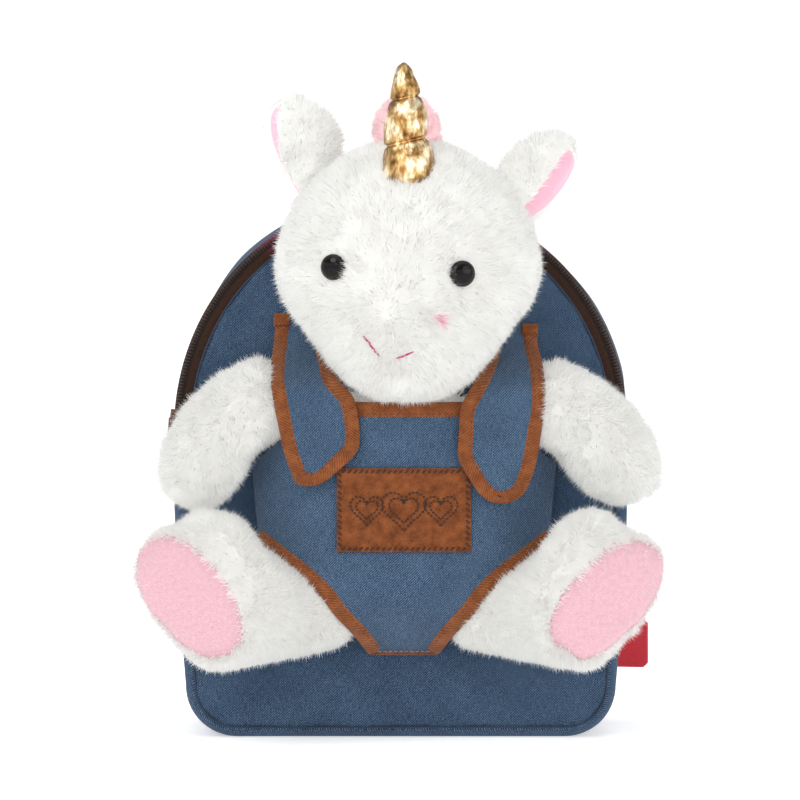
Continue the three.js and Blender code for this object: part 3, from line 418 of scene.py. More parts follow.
# A closed sheet of cloth from the grid of its outer face; thickness goes in along the inward normal.
def addSheet(name, outer, thickness, finish, loop=False, inward=1, uv=None, **more):
    rows, columns = outer.shape[:2]
    inner = outer + inward * normalsOf(outer, loop) * thickness
    count = rows * columns
    index = np.arange(count).reshape(rows, columns)
    faces = [gridFaces(rows, columns, 0, loop), gridFaces(rows, columns, count, loop)[:, ::-1]]
    ring = np.vstack([index, index[:1]]) if loop else index
    for side in (ring[:, 0], ring[::-1, -1]) + (() if loop else (index[0, ::-1], index[-1])):
        faces.append(np.stack([side[:-1], side[1:], side[1:] + count, side[:-1] + count], -1))
    points = np.concatenate([outer.reshape(-1, 3), inner.reshape(-1, 3)])
    uv = clothCoordinates(outer) if uv is None else uv.reshape(-1, 2)
    return addMesh(name, points, np.concatenate(faces), finish, np.concatenate([uv, uv]), **more)


# A closed rope or strip from rings of points, with its ends closed.
def ropeParts(rings, first=0):
    count, around = rings.shape[:2]
    index = np.arange(count * around).reshape(count, around) + first
    index = np.hstack([index, index[:, :1]])
    faces = np.stack([index[:-1, :-1], index[1:, :-1], index[1:, 1:], index[:-1, 1:]], -1).reshape(-1, 4)
    return rings.reshape(-1, 3), [list(f) for f in faces] + [list(index[0, :-1]), list(index[-1, :-1][::-1])]


def addRope(name, rings, finish, uv=None, **more):
    points, faces = ropeParts(rings)
    return addMesh(name, points, faces, finish, uv, **more)


# Threads: short plump stitches between pairs of points, each lying against its surface.
def addStitches(name, starts, ends, outs, finish, thick=0.55, lift=0.5, **more):
    shares = np.array([0.0, 0.12, 0.5, 0.88, 1.0])
    girth = np.array([0.25, 0.85, 1.0, 0.85, 0.25]) * thick
    hump = np.array([-0.7, 0.25, 0.6, 0.25, -0.7]) * lift
    turns = np.linspace(0, 2 * math.pi, 6, endpoint=False)
    points, faces = [], []
    for start, end, out in zip(starts, ends, outs):
        way = (end - start) / np.linalg.norm(end - start)
        side = np.cross(way, out)
        side /= np.linalg.norm(side)
        middle = start + np.outer(shares, end - start) + np.outer(hump, out)
        rings = (middle[:, None] + girth[:, None, None] * (
            np.cos(turns)[None, :, None] * side + np.sin(turns)[None, :, None] * out * 0.7))
        ringPoints, ringFaces = ropeParts(rings, len(points) * 30)
        points.append(ringPoints)
        faces += ringFaces
    points = np.concatenate(points)
    return addMesh(name, points, faces, finish, points[:, [0, 2]], **more)


def alongLine(points, pitch, share=0.62, slant=0.0, offset=0.0):
    steps = np.concatenate([[0], np.cumsum(np.linalg.norm(np.diff(points, axis=0), axis=1))])
    total = steps[-1]
    number = max(1, int(round((total - 2 * offset) / pitch)))
    at = offset + (np.arange(number) + 0.5) * (total - 2 * offset) / number
    spot = lambda s: np.stack([np.interp(s, steps, points[:, k]) for k in range(points.shape[1])], -1)
    return spot(at - share * pitch / 2), spot(at + share * pitch / 2)


# The bag's outline seen from the front, and the shapes that follow it, as the solids have them.
bag = {"width": 240, "height": 285, "depth": 130, "wall": 4, "cornerRadius": 27, "taper": 9, "archStart": 160,
       "archPower": 2.05, "frontDome": 5, "seamSide": 5.5, "seamArch": 9.2, "seamBack": 6,
       "roundFront": 9, "roundBack": 6, "zipEnd": 150, "stations": 64, "gap": 0.3,
       "sag": 0.9, "puffLeft": 2.6, "puffRight": 1.6}
half = bag["width"] / 2
frontPlane = -bag["depth"] / 2
backPlane = bag["depth"] / 2
gap = bag["gap"]


def halfWidthAt(z):
    z = np.asarray(z, float)
    low = half - bag["taper"] * (1 - z / bag["archStart"]) ** 2
    share = np.clip((z - bag["archStart"]) / (bag["height"] - bag["archStart"]), 0, 1)
    high = half * np.maximum(0, 1 - share ** bag["archPower"]) ** (1 / bag["archPower"])
    return np.where(z <= bag["archStart"], low, high)


def bagOutline():
    radius = bag["cornerRadius"]
    corner = float(halfWidthAt(radius)) - radius
    bottom = np.stack([np.linspace(0, corner, 60), np.zeros(60)], 1)
    turn = np.linspace(-math.pi / 2, 0, 60)[1:]
    bend = np.stack([corner + radius * np.cos(turn), radius + radius * np.sin(turn)], 1)
    z = np.linspace(radius, bag["archStart"], 120)[1:]
    side = np.stack([halfWidthAt(z), z], 1)
    turn = np.linspace(0, math.pi / 2, 400)[1:]
    power = 2 / bag["archPower"]
    arch = np.stack([half * np.cos(turn).clip(0) ** power,
                     bag["archStart"] + (bag["height"] - bag["archStart"]) * np.sin(turn) ** power], 1)
    right = np.concatenate([bottom, bend, side, arch])
    left = right[::-1][1:] * (-1, 1)
    line = np.concatenate([right, left])
    steps = np.concatenate([[0], np.cumsum(np.linalg.norm(np.diff(line, axis=0), axis=1))])
    return line, steps / steps[-1], steps[-1]


outline, outlineShares, outlineLength = bagOutline()


def outlineAt(t):
    t = np.asarray(t, float) % 1.0
    spot = lambda s: np.stack([np.interp(s % 1.0, outlineShares, outline[:, k]) for k in (0, 1)], -1)
    step = 0.002
    way = spot(t + step) - spot(t - step)
    way /= np.linalg.norm(way, axis=-1, keepdims=True)
    return spot(t), np.stack([way[..., 1], -way[..., 0]], -1)


def smooth(value, low, high):
    share = np.clip((value - low) / (high - low), 0, 1)
    return share * share * (3 - 2 * share)


def frontInset(z):
    return bag["seamSide"] + (bag["seamArch"] - bag["seamSide"]) * smooth(z, bag["zipEnd"] - 45, bag["zipEnd"] + 25)


def bandAt(t, v):
    t, v = np.meshgrid(t, v, indexing="ij")
    spot, out = outlineAt(t)
    turn = np.minimum(v, 1) * math.pi / 2
    backTurn = np.maximum(v - 2, 0) * math.pi / 2
    inset = frontInset(spot[..., 1]) * (1 - np.sin(turn)) + bag["seamBack"] * (1 - np.cos(backTurn))
    start, end = frontPlane + bag["roundFront"], backPlane - bag["roundBack"]
    y = start - bag["roundFront"] * np.cos(turn)
    y = np.where(v > 1, start + (end - start) * np.minimum(v - 1, 1), y)
    y = np.where(v > 2, end + bag["roundBack"] * np.sin(backTurn), y)
    # the padded top stands a little proud of the zip near the shoulders
    z = spot[..., 1]
    puff = np.where(spot[..., 0] < 0, bag["puffLeft"] * smooth(z, 222, 256), bag["puffRight"] * (
        smooth(z, 170, 195) * (1 - smooth(z, 225, 255))))
    inset = inset - puff * smooth(v, 1, 1.25) * (1 - smooth(v, 1.7, 2.8))
    return np.stack([spot[..., 0] - out[..., 0] * inset, y, spot[..., 1] - out[..., 1] * inset], -1)


def frontAt(x, z):
    reach = np.maximum(1, halfWidthAt(z) - frontInset(z))
    across = 1 - np.minimum(1, (x / reach) ** 2)
    middle = bag["height"] / 2
    upward = 1 - np.minimum(1, ((z - middle) / (middle - bag["seamArch"])) ** 4)
    return frontPlane - bag["frontDome"] * across ** 1.5 * upward ** 1.5


stations = np.arange(bag["stations"] + 1) / bag["stations"]
zipStart = stations[outlineAt(stations)[0][:, 1] > bag["zipEnd"]][0]
zipEnds = (zipStart + gap / outlineLength, 1 - zipStart - gap / outlineLength)


def bandPiece(name, span, vs, thickness, finish, rows=260, wrinkle=0.0, seed=1, **more):
    t = np.linspace(*span, rows)
    grid = bandAt(t, vs)
    uv = np.stack(np.meshgrid(t * outlineLength, vs, indexing="ij"), -1)
    uv[..., 1] = grid[..., 1]
    if wrinkle:
        edge = np.sin(np.clip((np.asarray(vs) - vs[0]) / (vs[-1] - vs[0]), 0, 1) * math.pi) ** 0.5
        soft = ripple(grid.reshape(-1, 3), 70, seed).reshape(grid.shape[:2]) * edge[None, :]
        onFloor = smooth(grid[..., 2], 6, 22)
        grid = grid + normalsOf(grid) * (wrinkle * soft * onFloor)[..., None]
    return addSheet(name, grid, thickness, finish, uv=uv, **more)


def buildBag():
    lowerSpan = (-zipStart, zipStart)
    vs = np.concatenate([np.linspace(0, 1, 9), np.linspace(1, 2, 22)[1:], np.linspace(2, 3, 7)[1:]])
    lower = bandPiece("lowerSides", lowerSpan, vs, bag["wall"], "denim", 250, bag["sag"], 3, slot="denim",
                      node="gusset_lower")
    topVs = np.concatenate([np.linspace(1 + gap / bag["depth"], 2, 22), np.linspace(2, 3, 7)[1:]])
    top = bandPiece("archTop", zipEnds, topVs, bag["wall"], "denim", 200, bag["sag"], 4, slot="denim",
                    node="gusset_top")
    nudge = 1.3 * gap / bag["roundFront"] / 1.6
    bandPiece("frontTape", zipEnds, np.linspace(0, 0.36, 7), 1.6, "tape", slot="zip_tape",
              node="zip_tape_front")
    bandPiece("backTape", zipEnds, np.linspace(0.69 + nudge, 1, 7), 1.6, "tape", slot="zip_tape",
              node="zip_tape_back")
    bandPiece("coilBed", zipEnds, np.linspace(0.36 + nudge, 0.69, 7), 1.4, "coilBed", slot="zip_coil",
              node="zip_coil")
    addCoilTeeth()
    addFrontPanel()
    addBagSeams()
    print("bag built")


# The coil: one small hump of nylon after another across the strip, with a stitch line down its middle.
coil = {"pitch": 1.75, "from": 0.44, "to": 0.69, "thick": 0.62, "rise": 0.6}


def addCoilTeeth():
    length = (zipEnds[1] - zipEnds[0]) * outlineLength
    number = int(length / coil["pitch"])
    t = np.linspace(zipEnds[0], zipEnds[1], number + 2)[1:-1]
    grid = bandAt(t, np.linspace(coil["from"], coil["to"], 5))
    out = -normalsOf(grid)
    out *= np.sign((out * (grid - np.array([0, 0, 150]))).sum(-1, keepdims=True))
    way = np.gradient(grid, axis=0)
    way /= np.linalg.norm(way, axis=2, keepdims=True)
    turns = np.linspace(0, 2 * math.pi, 6, endpoint=False)
    girth = coil["thick"] * np.array([0.6, 1, 0.92, 1, 0.6])
    middle = grid + out * coil["rise"] * np.array([0.2, 1, 0.7, 1, 0.2])[None, :, None]
    points, faces = [], []
    for k in range(number):
        rings = middle[k][:, None] + girth[:, None, None] * (
            np.cos(turns)[None, :, None] * way[k][:, None] + np.sin(turns)[None, :, None] * out[k][:, None])
        part, sides = ropeParts(rings, k * 30)
        points.append(part)
        faces += sides
    points = np.concatenate(points)
    addMesh("coilTeeth", points, faces, "coil", points[:, [0, 2]], slot="zip_coil")


def addFrontPanel():
    around, rings = 240, 34
    t = np.arange(around) / around
    spot, out = outlineAt(t)
    edge = spot - out * (frontInset(spot[:, 1]) + gap)[:, None]
    middle = np.array([0.0, 140.0])
    shares = np.linspace(0.02, 1, rings) ** 0.85
    flat = middle + shares[None, :, None] * (edge[:, None] - middle)
    depth = frontAt(flat[..., 0], flat[..., 1])
    grid = np.stack([flat[..., 0], depth, flat[..., 1]], -1)
    pucker = 0.35 * np.exp(-((1 - shares) / 0.03) ** 2)[None, :] * np.sin(t * outlineLength / 5.5)[:, None]
    fold = ripple(grid.reshape(-1, 3), 60, 9).reshape(grid.shape[:2]) * 0.5 * (1 - shares ** 6)[None, :]
    grid[..., 1] += pucker + fold
    inner = grid + (0, bag["wall"], 0)
    count = around * rings
    index = np.arange(count).reshape(around, rings)
    faces = [list(f) for f in gridFaces(around, rings, 0, True)]
    faces += [list(f[::-1]) for f in gridFaces(around, rings, count, True)]
    rim = np.append(index[:, -1], index[0, -1])
    faces += [[a, b, b + count, a + count] for a, b in zip(rim[:-1], rim[1:])]
    faces += [list(index[:, 0]), list(index[::-1, 0] + count)]
    points = np.concatenate([grid.reshape(-1, 3), inner.reshape(-1, 3)])
    panel = addMesh("frontPanel", points, faces, "denim", points[:, [0, 2]], slot="denim", node="front_panel")


# Seam lines: a sunk thread where the panels meet, at the front and at the back.
def addBagSeams():
    t = np.arange(460) / 460
    for name, v, lift in (("frontSeam", 0.0, 0.1), ("backSeam", 3.0, 0.1)):
        line = bandAt(np.append(t, 0), [v])[:, 0]
        way = np.gradient(line, axis=0)
        way /= np.linalg.norm(way, axis=1, keepdims=True)
        out = np.array([0, -1.0 if v < 1 else 1.0, 0])
        side = np.cross(way, out)
        turns = np.linspace(0, 2 * math.pi, 8, endpoint=False)
        rings = line[:, None] + 0.55 * (np.cos(turns)[None, :, None] * side[:, None]
                                        + np.sin(turns)[None, :, None] * out) + out * lift
        length = np.arange(len(line)) * outlineLength / len(line)
        uv = np.stack(np.meshgrid(length, turns, indexing="ij"), -1).reshape(-1, 2)
        addRope(name, rings, "blueThread", uv, slot="denim")


# The bib, its bindings and its patch. The same curves as the solids, as distances in millimetres.
bib = {"standOff": 44, "wall": 1.8, "topHalf": 45, "topHeight": 179, "seamHalf": 80.5, "seamTop": 148,
       "centre": 1.5, "rise": 40, "fullness": 0.8, "fold": 0.9, "tuck": 3.2, "topTrimFrom": 22,
       "legEdge": ((0.652, 0.366), (0.569, 0.342), (0.458, 0.309), (0.362, 0.272), (0.3, 0.236),
                   (0.216, 0.195), (0.158, 0.157))}
binding = {"width": 8.0, "thickness": 2.6, "stitchIn": 6.3, "stitchPitch": 3.1}
patch = {"width": 69.0, "height": 43.5, "centre": 123.0, "thickness": 1.6, "corner": 1.6}
crotch = bib["legEdge"][-1][1] * bag["height"]


def bibAt(x, z):
    across = np.minimum(1, np.abs((x - bib["centre"]) / bib["seamHalf"]) ** 4)
    rise = np.clip((z - crotch) / bib["rise"], 0, 1)
    bulge = bib["standOff"] * (1 - across) ** bib["fullness"] * (1 - (1 - rise) ** 2) ** bib["fullness"]
    return frontAt(x, z) - gap - binding["thickness"] - bulge


flap = {"wall": 1.8, "clearance": 4.1, "shoulder": 182, "top": 217, "fallOff": 0.2,
        "left": ((0.784, -0.554, -0.34), (0.753, -0.553, -0.33), (0.705, -0.563, -0.3), (0.674, -0.565, -0.278),
                 (0.639, -0.556, -0.208), (0.589, -0.533, -0.181), (0.54, -0.508, -0.188),
                 (0.502, -0.477, -0.275), (0.478, -0.445, -0.355)),
        "right": ((0.765, 0.597, 0.38), (0.733, 0.597, 0.38), (0.702, 0.614, 0.36), (0.667, 0.625, 0.317),
                  (0.621, 0.628, 0.261), (0.575, 0.609, 0.25), (0.526, 0.59, 0.248), (0.491, 0.567, 0.292),
                  (0.46, 0.53, 0.342), (0.445, 0.47, 0.4))}


def flapAt(x, z):
    fall = 1 - smooth(z, flap["shoulder"], flap["top"])
    side = 1 - flap["fallOff"] * np.minimum(1.2, np.abs(x / bib["seamHalf"])) ** 4
    return (frontAt(x, z) - gap - binding["thickness"]
            - (bib["standOff"] + flap["clearance"]) * fall * side)


def onSurface(flat, depthAt):
    return np.stack([flat[..., 0], depthAt(flat[..., 0], flat[..., 1]), flat[..., 1]], -1)


def outOf(flat, depthAt):
    step = 0.05
    slopeX = (depthAt(flat[..., 0] + step, flat[..., 1]) - depthAt(flat[..., 0] - step, flat[..., 1])) / (2 * step)
    slopeZ = (depthAt(flat[..., 0], flat[..., 1] + step) - depthAt(flat[..., 0], flat[..., 1] - step)) / (2 * step)
    out = np.stack([slopeX, -np.ones_like(slopeX), slopeZ], -1)
    return out / np.linalg.norm(out, axis=-1, keepdims=True)


# A smooth line through points, as the solids' splines run, at equal steps along it.
def splineThrough(points, count):
    points = np.asarray(points, float)
    padded = np.concatenate([points[:1], points, points[-1:]])
    t = np.linspace(0, len(points) - 1, 40 * len(points))
    k = np.minimum(t.astype(int), len(points) - 2)
    u = (t - k)[:, None]
    a, b, c, d = (padded[k + i] for i in range(4))
    va, vb = (c - a) / 2, (d - b) / 2
    line = (2 * b - 2 * c + va + vb) * u ** 3 + (-3 * b + 3 * c - 2 * va - vb) * u ** 2 + va * u + b
    steps = np.concatenate([[0], np.cumsum(np.linalg.norm(np.diff(line, axis=0), axis=1))])
    at = np.linspace(0, steps[-1], count)
    return np.stack([np.interp(at, steps, line[:, i]) for i in range(line.shape[1])], -1)


# A line moved sideways by an amount; places where it would cross itself are bridged.
def movedLine(line, amount, side):
    way = np.gradient(line, axis=0)
    way /= np.linalg.norm(way, axis=1, keepdims=True)
    moved = line + side * amount * np.stack([way[:, 1], -way[:, 0]], -1)
    near = np.array([np.min(np.linalg.norm(line - p, axis=1)) for p in moved])
    good = near > abs(amount) * 0.97
    good[[0, -1]] = True
    index = np.arange(len(line))
    fixed = np.stack([np.interp(index, index[good], moved[good, k]) for k in (0, 1)], -1)
    weight = np.array([1, 2, 3, 2, 1]) / 9
    rounded = np.stack([np.convolve(np.pad(fixed[:, k], 2, "edge"), weight, "valid") for k in (0, 1)], -1)
    return np.where(good[:, None], fixed, rounded)


# A folded binding over a cut edge: a flat rounded band from the edge inward, lying on its surface.
def addBinding(name, edge, side, depthAt, seed=0, **more):
    width, thick = binding["width"], binding["thickness"]
    inner = movedLine(edge, width, side)
    turns = np.linspace(0, 2 * math.pi, 22, endpoint=False)
    c, s = np.cos(turns), np.sin(turns)
    share = 0.5 - 0.5 * np.sign(c) * np.abs(c) ** 0.6
    depth = thick / 2 * np.sign(s) * np.abs(s) ** 0.45
    crown = 0.8 * np.sin(share * math.pi)
    flat = edge[:, None] * (1 - share)[None, :, None] + inner[:, None] * share[None, :, None]
    spot = onSurface(flat, depthAt)
    out = outOf(flat, depthAt)
    proud = (thick - bib["wall"]) / 2
    lift = depth + np.where(s > 0, crown, -crown * 0.3) - thick / 2 + proud
    rings = spot + out * lift[None, :, None]
    wobble = ripple(rings.reshape(-1, 3), 26, 40 + seed).reshape(rings.shape[:2]) * 0.22
    rings = rings + out * np.where(s > 0, 1, 0)[None, :, None] * wobble[..., None]
    steps = np.concatenate([[0], np.cumsum(np.linalg.norm(np.diff(edge, axis=0), axis=1))])
    uv = np.stack([np.repeat(steps, len(turns)), np.tile(share * width, len(edge))], -1)
    piece = addRope(name, rings, "suede", uv, slot="suede", **more)
    row = edge * (1 - binding["stitchIn"] / width) + inner * binding["stitchIn"] / width
    starts, ends = alongLine(row, binding["stitchPitch"], 0.6, offset=2)
    rise = lambda flat: onSurface(flat, depthAt) + outOf(flat, depthAt) * (proud + 0.22)
    addStitches(name + "Stitches", rise(starts), rise(ends), outOf((starts + ends) / 2, depthAt), "trimThread",
                0.34, 0.4, slot="suede")
    return piece


def legCurve(side, count=80):
    points = [(bib["centre"] + side * out * half, up * bag["height"]) for out, up in bib["legEdge"]]
    return splineThrough(points, count)


def bibSides(z, tuck):
    sides = []
    for side in (-1, 1):
        edge = movedLine(legCurve(side, 160), tuck, side * 1.0)
        order = np.argsort(edge[:, 1])
        leg = np.interp(z, edge[order, 1], edge[order, 0])
        seamLow = edge[order[-1]]
        seam = bib["centre"] + side * bib["seamHalf"]
        straight = np.interp(z, [seamLow[1], bib["seamTop"]], [seamLow[0], seam])
        slope = np.interp(z, [bib["seamTop"] - tuck, bib["topHeight"] - tuck],
                          [seam, bib["centre"] + side * (bib["topHalf"] - tuck * 0.5)])
        x = np.where(z < seamLow[1], leg, straight)
        sides.append(np.where(z > bib["seamTop"] - tuck, slope, x))
    return sides


def buildBib():
    tuck = bib["tuck"]
    z = np.linspace(crotch + 0.2, bib["topHeight"] - tuck, 90)
    left, right = bibSides(z, tuck)
    share = np.linspace(0, 1, 90)
    flat = np.stack([left[:, None] + (right - left)[:, None] * share,
                     np.repeat(z[:, None], len(share), axis=1)], -1)
    grid = onSurface(flat, bibAt)
    fade = np.sin(share * math.pi)[None, :] ** 0.5 * smooth(z, crotch, crotch + 20)[:, None]
    folds = ripple(grid.reshape(-1, 3), 46, 12).reshape(grid.shape[:2])
    slack = np.exp(-((np.abs(flat[..., 0] - bib["centre"]) - 48) / 16) ** 2) * smooth(z, 60, 90)[:, None]
    grid += outOf(flat, bibAt) * ((bib["fold"] * folds + 0.4 * slack) * fade)[..., None] * 0.6
    piece = addSheet("bibPanel", grid, bib["wall"], "denimFlap", inward=1, uv=flat, slot="denim", node="bib")
    for name, side in (("legTrimLeft", -1), ("legTrimRight", 1)):
        addBinding(name, legCurve(side), side, bibAt, side, node="leg_trim_" + name[7:].lower())
    top = np.array([(bib["centre"] - bib["seamHalf"], bib["seamTop"]),
                    (bib["centre"] - bib["topHalf"], bib["topHeight"]),
                    (bib["centre"] + bib["topHalf"], bib["topHeight"]),
                    (bib["centre"] + bib["seamHalf"], bib["seamTop"])])
    steps = np.concatenate([[0], np.cumsum(np.linalg.norm(np.diff(top, axis=0), axis=1))])
    at = np.linspace(bib["topTrimFrom"], steps[-1] - bib["topTrimFrom"], 150)  # its ends lie under the flaps
    edge = np.stack([np.interp(at, steps, top[:, k]) for k in (0, 1)], -1)
    weight = np.hanning(9) / np.hanning(9).sum()
    edge[4:-4] = np.stack([np.convolve(edge[:, k], weight, "valid") for k in (0, 1)], -1)
    addBinding("bibTopTrim", edge, 1, bibAt, 5, node="bib_top_trim")
    addPatch()
    addCrotchSeam()
    return piece


# The patch: a crowned slip of suede, whip-stitched round its edge, with a plain motif of stitched hearts.
def addPatch():
    wide, high = patch["width"] / 2, patch["height"] / 2
    x = bib["centre"] + wide * np.sin(np.linspace(-1, 1, 60) * math.pi / 2)
    z = patch["centre"] + high * np.sin(np.linspace(-1, 1, 40) * math.pi / 2)
    flat = np.stack(np.meshgrid(x, z, indexing="xy"), -1)
    wave = ripple(np.pad(flat.reshape(-1, 2), ((0, 0), (0, 1))), 24, 21).reshape(flat.shape[:2])
    edgeX = np.minimum(1, (wide - np.abs(flat[..., 0] - bib["centre"])) / 2.4)
    edgeZ = np.minimum(1, (high - np.abs(flat[..., 1] - patch["centre"])) / 2.4)
    crown = np.sqrt(np.clip(np.minimum(edgeX, edgeZ), 0, 1)) * 0.7
    front = lambda f: bibAt(f[..., 0], f[..., 1])
    grid = np.stack([flat[..., 0], front(flat), flat[..., 1]], -1)
    out = outOf(flat, bibAt)
    grid = grid + out * (patch["thickness"] + 2 * gap - 0.7 + crown + 0.15 * wave)[..., None]
    addSheet("namePatch", grid, patch["thickness"], "patch", inward=1, uv=flat, slot="patch_suede",
             node="patch")
    inset, pitch = 2.2, 2.9
    corners = [(-wide + inset, -high + inset), (wide - inset, -high + inset), (wide - inset, high - inset),
               (-wide + inset, high - inset)]
    starts, ends = [], []
    for (x0, z0), (x1, z1) in zip(corners, corners[1:] + corners[:1]):
        run = np.hypot(x1 - x0, z1 - z0)
        number = int(round(run / pitch))
        along = np.array([x1 - x0, z1 - z0]) / run
        outward = np.array([along[1], -along[0]])
        for k in range(number):
            base = np.array([x0, z0]) + along * (k + 0.5) * run / number
            starts.append(base - along * 0.9 + outward * 1.5)
            ends.append(base + along * 0.9 - outward * 0.5)
    motif = []
    for cx, size in ((-19, 8.6), (0, 11.5), (19, 8.6)):
        turn = np.linspace(0, 2 * math.pi, 120)
        heart = np.stack([16 * np.sin(turn) ** 3,
                          13 * np.cos(turn) - 5 * np.cos(2 * turn) - 2 * np.cos(3 * turn) - np.cos(4 * turn)], -1)
        for grow in (1.0, 0.66):
            line = heart * size / 16 * grow + (cx, 0.6)
            a, b = alongLine(line, 2.1 * (0.8 + 0.2 * grow), 0.74)
            motif += list(zip(a, b))
    pairs = list(zip(starts, ends)) + motif
    first = np.array([p[0] for p in pairs]) + (bib["centre"], patch["centre"])
    last = np.array([p[1] for p in pairs]) + (bib["centre"], patch["centre"])
    lift = patch["thickness"] + 2 * gap + 0.1
    rise = lambda flat: onSurface(flat, bibAt) + outOf(flat, bibAt) * lift
    addStitches("patchStitches", rise(first), rise(last), outOf((first + last) / 2, bibAt), "darkThread", 0.48, 0.6,
                slot="patch_suede")


def addCrotchSeam():
    flat = np.stack([np.linspace(bib["centre"] - 17, bib["centre"] + 17, 40), np.full(40, crotch + 2.6)], -1)
    starts, ends = alongLine(flat, 2.8, 0.65)
    rise = lambda f: onSurface(f, bibAt) + outOf(f, bibAt) * 0.5
    addStitches("crotchStitches", rise(starts), rise(ends), outOf(starts, bibAt), "tanThread", 0.4, 0.4,
                slot="suede")
    turns = np.linspace(0, 2 * math.pi, 10, endpoint=False)
    line = onSurface(flat - (0, 2.0), bibAt) + (0, 0.4, 0)
    rings = line[:, None] + np.stack([np.zeros(10), 0.9 * np.sin(turns), 1.1 * np.cos(turns)], -1)[None]
    uv = np.stack(np.meshgrid(flat[:, 0], turns, indexing="ij"), -1).reshape(-1, 2)
    addRope("crotchEdge", rings, "suede", uv, slot="suede")


def buildFlaps():
    for side, sign in (("left", -1), ("right", 1)):
        rows = flap[side]
        outer = [(out * half, up * bag["height"]) for up, out, _ in rows]
        inner = [(into * half, up * bag["height"]) for up, _, into in rows]
        edge = splineThrough(outer + inner[::-1], 220)
        inset = movedLine(edge, bib["tuck"], sign)
        count = 70
        shares = np.linspace(0, 0.5, count)
        at = lambda s: np.stack([np.interp(s, np.linspace(0, 1, 220), inset[:, k]) for k in (0, 1)], -1)
        a, b = at(shares), at(1 - shares)
        across = np.linspace(0, 1, 30)
        flat = a[:, None] + (b - a)[:, None] * across[None, :, None]
        flat[-1] = flat[-1] + np.linspace(-0.05, 0.05, 30)[:, None] * (1, 0)
        grid = onSurface(flat, flapAt)
        puff = np.sin(across * math.pi)[None, :] * 0.7
        grid += outOf(flat, flapAt) * puff[..., None]
        piece = addSheet("flap" + side.capitalize(), grid, flap["wall"], "denimFlap", inward=sign, uv=flat,
                         slot="denim", node="flap_" + side)
        trim = addBinding("flapTrim" + side.capitalize(), edge, sign, flapAt, 7 + sign, node="flap_trim_" + side)
        addFlapFold(sign, edge)
    print("flaps built")


# The binding's end is folded over and stitched down at the top of each flap.
def addFlapFold(sign, edge):
    top = edge[0]
    across = np.linspace(-0.3, binding["width"] + 0.4, 26)
    down = np.linspace(0.6, -6.4, 20)
    flat = top + np.stack(np.meshgrid(-sign * across, down, indexing="xy"), -1)
    u = np.linspace(-1, 1, 26)[None, :]
    w = np.linspace(-1, 1, 20)[:, None]
    crown = np.sqrt(np.clip((1 - np.abs(u) ** 5) * (1 - np.abs(w) ** 5), 0, 1)) * 1.5
    grid = onSurface(flat, flapAt) + outOf(flat, flapAt) * (crown + 0.7)[..., None]
    inward = 1 if normalsOf(grid)[10, 13, 1] > 0 else -1
    addSheet("flapFold" + ("Left" if sign < 0 else "Right"), grid, 0.8, "suede", inward=inward, uv=flat,
             slot="suede")
    places = np.array([(-sign * x, -5.6) for x in np.linspace(1.2, binding["width"] - 0.8, 4)]) + top
    lift = lambda f: onSurface(f, flapAt) + outOf(f, flapAt) * 1.6
    addStitches("foldStitches" + ("Left" if sign < 0 else "Right"), lift(places - (0.7, 0)), lift(places + (0.7, 0)),
                outOf(places, flapAt), "trimThread", 0.4, 0.5, slot="suede")


# A smooth body from a solid of the frame: remeshed finely, softened, and drawn in to where the backing lies.
def softBody(node, name, voxel, rounds=8, drawIn=0.0, finish="skin"):
    piece = bpy.data.objects.new(name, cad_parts[node].data.copy())
    scene.collection.objects.link(piece)
    remesh = piece.modifiers.new("remesh", "REMESH")
    remesh.mode = "VOXEL"
    remesh.voxel_size = voxel * mm
    soften = piece.modifiers.new("soften", "SMOOTH")
    soften.factor = 0.6
    soften.iterations = rounds
    applied(piece)
    mesh = piece.data
    if drawIn:
        points = meshPoints(mesh)
        normals = np.empty(len(points) * 3, np.float32)
        mesh.vertices.foreach_get("normal", normals)
        points -= normals.reshape(-1, 3) * drawIn
        mesh.vertices.foreach_set("co", (points * mm).astype(np.float32).ravel())
        mesh.update()
    dress(piece, finish)
    settle(piece, node)
    return piece


def applied(piece):
    graph = bpy.context.evaluated_depsgraph_get()
    graph.update()
    mesh = bpy.data.meshes.new_from_object(piece.evaluated_get(graph))
    piece.modifiers.clear()
    piece.data = mesh


def meshPoints(mesh):
    points = np.empty(len(mesh.vertices) * 3, np.float32)
    mesh.vertices.foreach_get("co", points)
    return points.reshape(-1, 3).astype(float) / mm


# Weave coordinates for a remeshed body: the same two axes at every point, across and up unless others are given.
def dress(piece, finish, axes=None):
    mesh = piece.data
    mesh.polygons.foreach_set("use_smooth", [True] * len(mesh.polygons))
    mesh.materials.clear()
    mesh.materials.append(finishes[finish])
    points = meshPoints(mesh)
    for layer in list(mesh.uv_layers):
        mesh.uv_layers.remove(layer)
    layer = mesh.uv_layers.new(name="cloth")
    corner = np.empty(len(mesh.loops), np.int32)
    mesh.loops.foreach_get("vertex_index", corner)
    uv = points[:, list(axes or (0, 2))]
    layer.data.foreach_set("uv", uv[corner].astype(np.float32).ravel())


def treeOf(pieces):
    points, faces = [], []
    for piece in pieces:
        mesh = piece.data
        mesh.calc_loop_triangles()
        corners = np.empty(len(mesh.loop_triangles) * 3, np.int32)
        mesh.loop_triangles.foreach_get("vertices", corners)
        faces.append(corners.reshape(-1, 3) + sum(len(p) for p in points))
        points.append(meshPoints(mesh))
    return BVHTree.FromPolygons(np.concatenate(points).tolist(), np.concatenate(faces).tolist())


